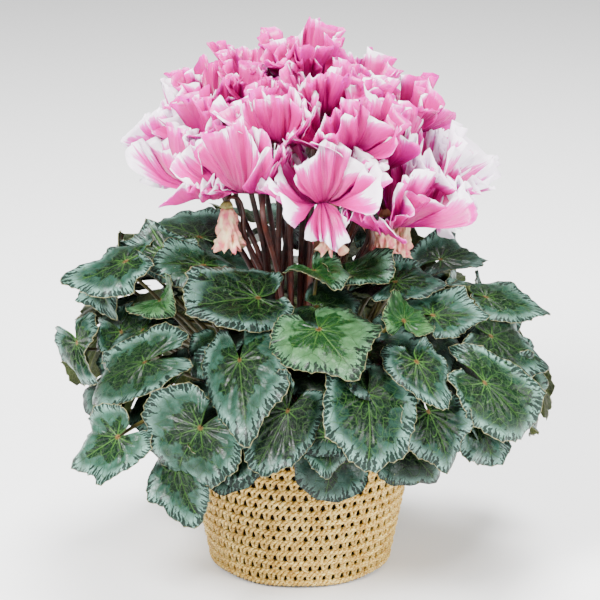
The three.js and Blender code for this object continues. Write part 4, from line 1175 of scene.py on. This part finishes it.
def faded_part(bloom):
    """Closed, crumpled petals that hang below the calyx."""
    top = MOUTH.rise + MOUTH.depth + PETAL.thickness
    heights = np.linspace(-FADED.length, top, FADED.steps)
    # The radius at some heights over the bloom's hub, widest at the lower end
    places, radii = [-FADED.length, -18, -11, -3, top - 1, top], [10.5, 8.2, 7.2, 6.6, 4.4, 3.2]
    outline = np.interp(heights, places, radii)
    profile = [[0, -13], [4, -17], *np.stack([outline, heights], 1), [0, top]]

    def displace(points):
        angle, z = turns(points), points[:, 2]
        low = 1 - smooth_step(-FADED.length, top, z)
        seed = TURN * draw(bloom.item, 42)
        folds = 0.15 * np.sin(3 * angle + 0.35 * z + seed) + 0.14 * np.sin(7 * angle - 0.3 * z)
        frill = 0.24 * low**1.5 * np.sin(12 * angle + seed + 0.2 * z) + 0.07 * np.sin(19 * angle + z * 0.8)
        lift = 2.6 * low**2.5 * np.sin(9 * angle + seed) * (np.hypot(points[:, 0], points[:, 1]) > 1)
        return swollen(points, 1 + folds + frill) + lift[:, None] * [0, 0, 1]

    points, faces = lathe(profile, FADED.sides, displace)
    return on_bloom(bloom, points), faces, 0, {}


def stalk_path(bloom):
    """The way of a flower stalk up from its shoot and over its hook, and the height of the calyx's seat."""

    def at(across, along):
        return bloom.hub + bloom.side * across + bloom.axis * along

    below = at(bloom.reach, -STALK.below)
    knee = bloom.foot + (below - bloom.foot) * STALK.knee
    knee[:2] = bloom.foot[:2] + (knee[:2] - bloom.foot[:2]) * STALK.pull
    seat = MOUTH.rise + MOUTH.depth + PETAL.thickness + SEAT_GAP
    hook = [at(share * bloom.reach, height * bloom.bend) for share, height in HOOK]
    controls = [bloom.foot, knee, below, *hook, at(0, seat + CALYX_HEIGHT - 1)]
    return curve_points(controls, STALK.steps), seat


def calyx_part(bloom, seat):
    """A ribbed calyx of five pointed sepals, seated on the bloom."""

    def displace(points):
        angle = turns(points)
        low = np.clip((seat + CALYX_HEIGHT - points[:, 2]) / CALYX_HEIGHT, 0, 1)
        return swollen(points, 1 + 0.07 * np.cos(10 * angle) + 0.16 * low * np.cos(5 * angle))

    top = seat + CALYX_HEIGHT
    profile = [[0, seat + 0.3], [3.6, seat], [4.6, seat + 0.5], [4.3, seat + 2], [3.5, seat + 3.6]]
    profile += [[2.4, top], [0, top + 0.3]]
    points, faces = lathe(profile, 40, displace)
    return on_bloom(bloom, points), faces, 1, {}


class CYCLAMEN_OT_blooms(bpy.types.Operator):
    """Builds the open blooms, one piece each"""

    bl_idname = "cyclamen.blooms"
    bl_label = "Blooms"

    def execute(self, context):
        settings = context.scene.cyclamen_flowers
        petals = petal_material(settings)
        blooms = all_blooms()
        for bloom in blooms:
            parts = [petal_shell(bloom, blooms, number, settings) for number in range(len(PETALS))]
            parts.append(throat_part(bloom))
            name = f"petals_{bloom.item + 1:02d}"
            add_piece(name, new_mesh(name, parts), [petals], "petal", f"bloom_{bloom.item + 1:02d}")
        return {"FINISHED"}


class CYCLAMEN_OT_faded_blooms(bpy.types.Operator):
    """Builds the blooms past their best, which hang closed under the head"""

    bl_idname = "cyclamen.faded_blooms"
    bl_label = "Faded blooms"

    def execute(self, context):
        # Wilted petals: limp and dry, so they are matt, with peach and cream patches in the creases
        stops = [(0.32, "#d8607a"), (0.48, "#e8a08c"), (0.64, "#f0dcae")]
        material = plain_material("wilted_petal", 7, stops, 0.6, 0.8)
        for bloom in faded_blooms():
            name = f"faded_petals_{bloom.item + 1}"
            mesh = new_mesh(name, [faded_part(bloom)])
            add_piece(name, mesh, [material], "faded_petal", f"faded_bloom_{bloom.item + 1}")
        return {"FINISHED"}


class CYCLAMEN_OT_stalks(bpy.types.Operator):
    """Builds the flower stalks and calyces, one piece for each shoot"""

    bl_idname = "cyclamen.stalks"
    bl_label = "Flower stalks"

    def execute(self, context):
        settings = context.scene.cyclamen_flowers
        maroon = [(0.3, "#210806"), (0.55, "#431710"), (0.8, "#5c321c")]
        materials = [
            # Fleshy flower stalks: tight smooth skin with a long dark red sheen
            plain_material("fleshy_flower_stalk", 9, maroon, 0.4, 0.15),
            # Calyces: dull olive green skin with hardly any shine
            plain_material("ribbed_calyx", 4, [(0.3, "#6f6a34"), (0.7, "#a09a58")], 0.55, 0.3),
            # Corky shoots: dead matt bark
            plain_material("corky_flower_shoot", 3, [(0.3, "#3d2a1d"), (0.7, "#6a4b34")], 0.9, 0.6),
        ]
        radius = settings.stalk / MM
        for sector, group in enumerate(by_sector(all_blooms() + faded_blooms(), FLOWER_SHOOT)):
            parts = [shoot_part(FLOWER_SHOOT, sector, 2)]
            for bloom in group:
                path, seat = stalk_path(bloom)
                share = np.linspace(0, 1, len(path))
                radii = np.interp(share, [0, 0.7, 1], [radius, radius * 0.92, radius * 0.7])
                parts.append((*tube(path, radii, STALK.sides), 0, {}))
                parts.append(calyx_part(bloom, seat))
            name = f"stalks_{sector + 1}"
            add_piece(name, new_mesh(name, parts), materials, "flower_stalk", f"flower_stalks_{sector + 1}")
        return {"FINISHED"}


# Pots, soil and corm


# The lining stands behind the weave, off the ground, and ends below the rim
LINING = Values(behind=2.6, foot=0.3, below_rim=4)
# Points round the pots and the corm, and round the soil with its crumbs
POT_SIDES = 96
SOIL_SIDES = 120
SOIL_RINGS = 12
CRUMB_HEIGHT = 0.7


def rounded(profile, steps):
    """Rounds the corners of a profile a little by cutting them repeatedly."""
    points = np.asarray(profile, dtype=float)
    for _ in range(steps):
        a, b = points[:-1], points[1:]
        cut = np.empty((2 * len(a), 2))
        cut[0::2] = a * 0.8 + b * 0.2
        cut[1::2] = a * 0.2 + b * 0.8
        points = np.vstack([points[:1], cut[1:-1], points[-1:]])
    return points


def weave_tree(settings, material):
    """Courses of two twisted strands, joined by slanting legs with small holes between them.

    Returns the tree and the value of each of its inputs by the socket's identifier.
    """
    tree = bpy.data.node_groups.new("woven_courses", "GeometryNodeTree")
    tree.interface.new_socket("Geometry", in_out="OUTPUT", socket_type="NodeSocketGeometry")
    sockets = {}
    sizes = {
        "Courses": settings.courses,
        "Stitches": settings.stitches,
        "Height": COVER.height * MM,
        "Base radius": COVER.base_radius * MM,
        "Rim radius": COVER.rim_radius * MM,
        "Strand radius": settings.strand,
        "Twist radius": settings.twist,
        "Wander": 0.5 * MM,
        "Leg bulge": 1.2 * MM,
        "Seed": 7,
    }
    for name, value in sizes.items():
        kind = "NodeSocketInt" if isinstance(value, int) else "NodeSocketFloat"
        sockets[name] = tree.interface.new_socket(name, in_out="INPUT", socket_type=kind).identifier
    group = node(tree, "NodeGroupInput")
    courses, stitches = group["Courses"], group["Stitches"]
    pitch = node(tree, "ShaderNodeMath", [group["Height"], courses], operation="DIVIDE")[0]
    inputs = [group["Rim radius"], group["Base radius"]]
    spread = node(tree, "ShaderNodeMath", inputs, operation="SUBTRACT")[0]

    # A line along +Z for each rope, with six points a stitch, and one of five points for each leg
    fine = node(tree, "ShaderNodeMath", [stitches, 6.0, 1.0], operation="MULTIPLY_ADD")[0]
    rope_count = node(tree, "ShaderNodeMath", [courses, 2.0], operation="MULTIPLY")[0]
    per_course = node(tree, "ShaderNodeMath", [stitches, 2.0], operation="MULTIPLY")[0]
    gaps = node(tree, "ShaderNodeMath", [courses, 1.0], operation="SUBTRACT")[0]
    leg_count = node(tree, "ShaderNodeMath", [gaps, per_course], operation="MULTIPLY")[0]
    apart = node(tree, "ShaderNodeCombineXYZ", [1.0])[0]
    copies = []
    for points, count in ((fine, rope_count), (5, leg_count)):
        line = node(tree, "GeometryNodeCurvePrimitiveLine", {"Start": (0, 0, 0), "End": (0, 0, 1)})[0]
        line = node(tree, "GeometryNodeResampleCurve", {"Curve": line, "Count": points})[0]
        row = node(tree, "GeometryNodeMeshLine", {"Count": count, "Offset": apart})[0]
        placed = node(tree, "GeometryNodeInstanceOnPoints", {"Points": row, "Instance": line})[0]
        copies.append(node(tree, "GeometryNodeRealizeInstances", [placed])[0])
    spot = node(tree, "GeometryNodeInputPosition")[0]
    number, _, share = node(tree, "ShaderNodeSeparateXYZ", [spot])
    number = node(tree, "ShaderNodeMath", [number], operation="ROUND")[0]

    # Ropes: two strands a course swing round each other once a stitch, and the course wanders a little
    course = node(tree, "ShaderNodeMath", [number, 0.5], operation="MULTIPLY")[0]
    course = node(tree, "ShaderNodeMath", [course], operation="FLOOR")[0]
    swing = node(tree, "ShaderNodeMath", [share, stitches], operation="MULTIPLY")[0]
    swing = node(tree, "ShaderNodeMath", [swing, 2.0, number], operation="MULTIPLY_ADD")[0]
    swing = node(tree, "ShaderNodeMath", [swing, course], operation="ADD")[0]
    swing = node(tree, "ShaderNodeMath", [swing, math.pi], operation="MULTIPLY")[0]
    wander = node(tree, "ShaderNodeMath", [course, 2.1], operation="MULTIPLY")[0]
    wander = node(tree, "ShaderNodeMath", [share, 14 * math.pi, wander], operation="MULTIPLY_ADD")[0]
    wander = node(tree, "ShaderNodeMath", [wander], operation="SINE")[0]
    up = node(tree, "ShaderNodeMath", [swing], operation="SINE")[0]
    level = node(tree, "ShaderNodeMath", [course, 0.5], operation="ADD")[0]
    level = node(tree, "ShaderNodeMath", [level, pitch], operation="MULTIPLY")[0]
    level = node(tree, "ShaderNodeMath", [up, group["Twist radius"], level], operation="MULTIPLY_ADD")[0]
    level = node(tree, "ShaderNodeMath", [wander, group["Wander"], level], operation="MULTIPLY_ADD")[0]
    lift = node(tree, "ShaderNodeMath", [swing], operation="COSINE")[0]
    lift = node(tree, "ShaderNodeMath", [lift, group["Twist radius"]], operation="MULTIPLY")[0]
    lift = node(tree, "ShaderNodeMath", [lift, 0.8], operation="MULTIPLY")[0]
    rope_place = (share, level, lift)

    # Legs: two a stitch lean towards each other from one course to the next
    course = node(tree, "ShaderNodeMath", [number, 0.5], operation="ADD")[0]
    course = node(tree, "ShaderNodeMath", [course, per_course], operation="DIVIDE")[0]
    course = node(tree, "ShaderNodeMath", [course], operation="FLOOR")[0]
    before = node(tree, "ShaderNodeMath", [course, per_course], operation="MULTIPLY")[0]
    along = node(tree, "ShaderNodeMath", [number, before], operation="SUBTRACT")[0]
    lean = node(tree, "ShaderNodeMath", [along, 2.0], operation="MODULO")[0]
    lean = node(tree, "ShaderNodeMath", [lean, 2.0, -1.0], operation="MULTIPLY_ADD")[0]
    # Inputs 2 and 3 are the least and the greatest slant
    inputs = {"ID": number, 2: 0.2, 3: 0.42, "Seed": group["Seed"]}
    slant = node(tree, "FunctionNodeRandomValue", inputs, data_type="FLOAT")[1]
    slant = node(tree, "ShaderNodeMath", [slant, lean], operation="MULTIPLY")[0]
    rise = node(tree, "ShaderNodeMath", [share, 0.5], operation="SUBTRACT")[0]
    slant = node(tree, "ShaderNodeMath", [slant, rise], operation="MULTIPLY")[0]
    turn = node(tree, "ShaderNodeMath", [along, 0.5, 0.25], operation="MULTIPLY_ADD")[0]
    turn = node(tree, "ShaderNodeMath", [turn], operation="FLOOR")[0]
    turn = node(tree, "ShaderNodeMath", [turn, slant], operation="ADD")[0]
    turn = node(tree, "ShaderNodeMath", [lean, 0.17, turn], operation="MULTIPLY_ADD")[0]
    odd = node(tree, "ShaderNodeMath", [course, 2.0], operation="MODULO")[0]
    turn = node(tree, "ShaderNodeMath", [odd, 0.5, turn], operation="MULTIPLY_ADD")[0]
    turn = node(tree, "ShaderNodeMath", [turn, stitches], operation="DIVIDE")[0]
    level = node(tree, "ShaderNodeMath", [share, 0.5], operation="ADD")[0]
    level = node(tree, "ShaderNodeMath", [level, course], operation="ADD")[0]
    level = node(tree, "ShaderNodeMath", [level, pitch], operation="MULTIPLY")[0]
    bow = node(tree, "ShaderNodeMath", [share, math.pi], operation="MULTIPLY")[0]
    bow = node(tree, "ShaderNodeMath", [bow], operation="SINE")[0]
    bow = node(tree, "ShaderNodeMath", [bow, 0.9], operation="SUBTRACT")[0]
    lift = node(tree, "ShaderNodeMath", [bow, group["Leg bulge"]], operation="MULTIPLY")[0]
    leg_place = (turn, level, lift)

    # Round the pot: each line goes to its turn, height and lift from the wall, and becomes a strand
    strands = []
    ropes, legs = copies
    for lines, (turn, level, lift), thickness in ((ropes, rope_place, 1.0), (legs, leg_place, 0.95)):
        angle = node(tree, "ShaderNodeMath", [turn, 2 * math.pi], operation="MULTIPLY")[0]
        height = node(tree, "ShaderNodeMath", [level, group["Height"]], operation="DIVIDE")[0]
        inputs = [height, spread, group["Base radius"]]
        radius = node(tree, "ShaderNodeMath", inputs, operation="MULTIPLY_ADD")[0]
        radius = node(tree, "ShaderNodeMath", [radius, lift], operation="ADD")[0]
        ring = [node(tree, "ShaderNodeMath", [angle], operation=kind)[0] for kind in ("COSINE", "SINE")]
        x, y = [node(tree, "ShaderNodeMath", [part, radius], operation="MULTIPLY")[0] for part in ring]
        place = node(tree, "ShaderNodeCombineXYZ", [x, y, level])[0]
        strand = node(tree, "GeometryNodeSetPosition", {"Geometry": lines, "Position": place})[0]
        radius = node(tree, "ShaderNodeMath", [group["Strand radius"], thickness], operation="MULTIPLY")[0]
        section = node(tree, "GeometryNodeCurvePrimitiveCircle", {"Resolution": 5, "Radius": radius})[0]
        inputs = {"Curve": strand, "Profile Curve": section, "Fill Caps": True}
        strands.append(node(tree, "GeometryNodeCurveToMesh", inputs)[0])
    joined = node(tree, "GeometryNodeJoinGeometry", [strands])[0]
    real = node(tree, "GeometryNodeRealizeInstances", [joined])[0]
    smooth = node(tree, "GeometryNodeSetShadeSmooth", {"Geometry": real})[0]
    done = node(tree, "GeometryNodeSetMaterial", {"Geometry": smooth, "Material": material})[0]
    node(tree, "NodeGroupOutput", [done])
    return tree, {sockets[name]: value for name, value in sizes.items()}


class CYCLAMEN_OT_cover_pot(bpy.types.Operator):
    """Builds the woven cover pot: its twisted courses and the lining behind them, painted dark as shade"""

    bl_idname = "cyclamen.cover_pot"
    bl_label = "Woven cover pot"

    def execute(self, context):
        settings = context.scene.cyclamen_weave
        tree, sizes = weave_tree(settings, straw_material(settings))
        piece = bpy.data.objects.new("woven_courses", bpy.data.meshes.new("woven_courses"))
        context.scene.collection.objects.link(piece)
        modifier = piece.modifiers.new("weave", "NODES")
        modifier.node_group = tree
        for socket, value in sizes.items():
            modifier[socket] = value
        piece.update_tag()
        view = context.evaluated_depsgraph_get()
        mesh = bpy.data.meshes.new_from_object(piece.evaluated_get(view), depsgraph=view)
        piece.modifiers.clear()
        piece.data = mesh
        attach(piece, "root")
        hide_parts("woven_cover_pot")
        # Lining: rough straw fibre painted dark brown as the shade inside the pot, so the holes of the weave
        # stay dark
        lining = plain_material("shaded_straw_lining", 2, [(0.3, "#1c140b"), (0.7, "#3a2c18")], 0.95, 0.4)
        base, rim, top = COVER.base_radius, COVER.rim_radius, COVER.height - LINING.below_rim
        profile = [
            [0, LINING.foot], [base - 3, LINING.foot], [base - LINING.behind, 2],
            [rim - LINING.behind - 0.3, top], [rim - COVER.wall, top],
            [base - COVER.wall, COVER.floor], [0, COVER.floor],
        ]
        mesh = new_mesh("cover_lining", [(*lathe(profile, POT_SIDES), 0, {})])
        add_piece("cover_lining", mesh, [lining], "woven_fibre", "woven_cover_pot")
        return {"FINISHED"}


class CYCLAMEN_OT_nursery_pot(bpy.types.Operator):
    """Builds the plastic nursery pot with its turned-out rim"""

    bl_idname = "cyclamen.nursery_pot"
    bl_label = "Nursery pot"

    def execute(self, context):
        pot = NURSERY_POT
        bottom = COVER.floor + SEAT_GAP
        top = bottom + pot.height
        profile = [
            [0, bottom], [pot.base_radius, bottom], [pot.rim_radius - pot.lip, top - pot.lip_drop],
            [pot.rim_radius, top - pot.lip_drop], [pot.rim_radius, top],
            [pot.rim_radius - pot.lip - pot.wall, top], [pot.base_radius - pot.wall, bottom + pot.floor],
            [0, bottom + pot.floor],
        ]
        # Moulded polypropylene: an even half-matt sheen
        plastic = plain_material("moulded_plastic", 12, [(0.3, "#4b352a"), (0.7, "#5a4335")], 0.5, 0.05)
        mesh = new_mesh("pot_wall", [(*lathe(rounded(profile, 2), POT_SIDES), 0, {})])
        add_piece("pot_wall", mesh, [plastic], "pot_plastic", "nursery_pot")
        return {"FINISHED"}


class CYCLAMEN_OT_soil(bpy.types.Operator):
    """Builds the crumbly potting soil"""

    bl_idname = "cyclamen.soil"
    bl_label = "Potting soil"

    def execute(self, context):
        pot = NURSERY_POT
        floor = COVER.floor + SEAT_GAP + pot.floor
        hollow = CORM.shoulder_radius + SEAT_GAP

        def inner(z):
            slope = (pot.rim_radius - pot.lip - pot.base_radius) / (pot.height - pot.floor)
            return pot.base_radius - pot.wall + slope * (z - floor)

        rim = inner(SOIL_TOP) - 1.6
        top = [[rim - k * (rim - hollow - 1) / SOIL_RINGS, SOIL_TOP] for k in range(SOIL_RINGS + 1)]
        hollow_floor = CORM_TOP - CORM.height - SEAT_GAP
        profile = [
            [0, floor + SEAT_GAP], [inner(floor) - 2, floor + SEAT_GAP],
            [inner(SOIL_TOP) - 1.2, SOIL_TOP - 3], *top, [hollow - 6, hollow_floor], [0, hollow_floor],
        ]

        def displace(points):
            x, y, z = points.T
            crumbs = np.sin(x * 1.3 + 2 * np.sin(y)) + np.sin(y * 1.7 + x)
            near = np.abs(z - SOIL_TOP) < 0.1
            points[near, 2] += CRUMB_HEIGHT * crumbs[near] + 0.4
            return points

        # Potting soil: damp loose crumbs with no shine at all
        crumb_colours = [(0.35, "#15100c"), (0.6, "#2e2219"), (0.75, "#574432")]
        soil = plain_material("damp_potting_soil", 2.5, crumb_colours, 1.0, 1.5)
        mesh = new_mesh("soil_bed", [(*lathe(profile, SOIL_SIDES, displace), 0, {})])
        add_piece("soil_bed", mesh, [soil], "soil", "potting_soil")
        return {"FINISHED"}


class CYCLAMEN_OT_corm(bpy.types.Operator):
    """Builds the flat-topped corky corm"""

    bl_idname = "cyclamen.corm"
    bl_label = "Corm"

    def execute(self, context):
        low = CORM_TOP - CORM.height
        widest, flat = CORM.shoulder_radius, CORM.top_radius
        profile = [
            [0, low], [widest - 9, low], [widest - 1.5, low + CORM.height * 0.5], [widest - 1, CORM_TOP - 4],
            [flat - 1, CORM_TOP - 0.6], [flat * 0.6, CORM_TOP - 0.2], [0, CORM_TOP - 0.2],
        ]

        def displace(points):
            angle = turns(points)
            lumps = 0.012 * (1 + np.sin(5 * angle)) + 0.01 * (1 + np.sin(11 * angle + points[:, 2] * 0.3))
            return swollen(points, 1 - lumps)

        # Corm: dead matt bark with fine pits
        bark = [(0.3, "#3b281b"), (0.6, "#5e422e"), (0.8, "#7b5a41")]
        cork = plain_material("corky_corm", 4, bark, 0.9, 1.0)
        mesh = new_mesh("corm_skin", [(*lathe(rounded(profile, 2), POT_SIDES, displace), 0, {})])
        add_piece("corm_skin", mesh, [cork], "corm", "corm")
        return {"FINISHED"}


# Stage

# Heights in metres that the camera and the lights point at, and half the width of the floor in mm
CAMERA_AIM = 0.205
LIGHT_AIM = 0.25
FLOOR_HALF = 6000
# Each light: its name, place, width and share of the key light's power
LIGHTS = [
    ("key_light", (-1.0, -1.5, 1.7), 0.7, 1.0),
    ("fill_light", (1.5, -1.2, 0.9), 1.0, 0.35),
    ("top_light", (0.2, 0.5, 2.0), 0.9, 0.6),
]


class CYCLAMEN_OT_stage(bpy.types.Operator):
    """Builds the pale floor, the soft lights and the camera"""

    bl_idname = "cyclamen.stage"
    bl_label = "Stage"

    def execute(self, context):
        settings = context.scene.cyclamen_stage
        scene = context.scene
        tilt = settings.elevation
        place = settings.distance * np.array([0, -math.cos(tilt), math.sin(tilt)]) + [0, 0, CAMERA_AIM]
        lens = bpy.data.cameras.new("camera")
        lens.lens = settings.lens
        lens.sensor_width = 36
        camera = bpy.data.objects.new("camera", lens)
        camera.location = place
        camera.rotation_euler = (math.pi / 2 - tilt, 0, 0)
        scene.collection.objects.link(camera)
        scene.camera = camera

        points = np.array([[-1, -1, 0], [1, -1, 0], [1, 1, 0], [-1, 1, 0]]) * float(FLOOR_HALF)
        mesh = new_mesh("floor", [(points, [np.array([[0, 1, 2, 3]])], 0, {})])
        floor = bpy.data.objects.new("floor", mesh)
        scene.collection.objects.link(floor)
        # Matt paper: no highlight, so that the plant's own soft shadow is all that it shows
        paper, tree, shader = new_material("matt_white_paper")
        finish = {"Base Color": linear("#f7f7f7"), "Roughness": 0.9, "Specular IOR Level": 0.1}
        fill(tree, shader, finish)
        mesh.materials.append(paper)

        world = bpy.data.worlds.new("studio")
        world.use_nodes = True
        surround = world.node_tree.nodes["Background"]
        fill(world.node_tree, surround, {"Color": linear("#ffffff"), "Strength": settings.surround})
        scene.world = world
        for name, spot, size, share in LIGHTS:
            lamp = bpy.data.lights.new(name, "AREA")
            lamp.energy = settings.light * share
            lamp.size = size
            light = bpy.data.objects.new(name, lamp)
            light.location = spot
            x, y, z = np.array([0, 0, LIGHT_AIM]) - spot
            light.rotation_euler = (math.atan2(math.hypot(x, y), -z), 0, math.atan2(y, x) - math.pi / 2)
            scene.collection.objects.link(light)
        return {"FINISHED"}


OPERATORS = [
    CYCLAMEN_OT_stage,
    CYCLAMEN_OT_cover_pot,
    CYCLAMEN_OT_nursery_pot,
    CYCLAMEN_OT_soil,
    CYCLAMEN_OT_corm,
    CYCLAMEN_OT_leaves,
    CYCLAMEN_OT_blooms,
    CYCLAMEN_OT_faded_blooms,
    CYCLAMEN_OT_stalks,
]
SETTINGS = {
    "cyclamen_weave": WeaveSettings,
    "cyclamen_foliage": FoliageSettings,
    "cyclamen_flowers": FlowerSettings,
    "cyclamen_stage": StageSettings,
}


class CYCLAMEN_PT_panel(bpy.types.Panel):
    """Lists the pieces of the plant"""

    bl_idname = "CYCLAMEN_PT_panel"
    bl_label = "Potted cyclamen"
    bl_space_type = "VIEW_3D"
    bl_region_type = "UI"
    bl_category = "Cyclamen"

    def draw(self, context):
        for operator in OPERATORS:
            self.layout.operator(operator.bl_idname)


def register():
    for settings in SETTINGS.values():
        bpy.utils.register_class(settings)
    for name, settings in SETTINGS.items():
        setattr(bpy.types.Scene, name, PointerProperty(type=settings))
    for operator in OPERATORS:
        bpy.utils.register_class(operator)
    bpy.utils.register_class(CYCLAMEN_PT_panel)


def unregister():
    bpy.utils.unregister_class(CYCLAMEN_PT_panel)
    for operator in reversed(OPERATORS):
        bpy.utils.unregister_class(operator)
    for name in SETTINGS:
        delattr(bpy.types.Scene, name)
    for settings in SETTINGS.values():
        bpy.utils.unregister_class(settings)


def main():
    register()
    for operator in OPERATORS:
        area, name = operator.bl_idname.split(".")
        getattr(getattr(bpy.ops, area), name)()
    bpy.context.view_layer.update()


if __name__ == "__main__":
    main()
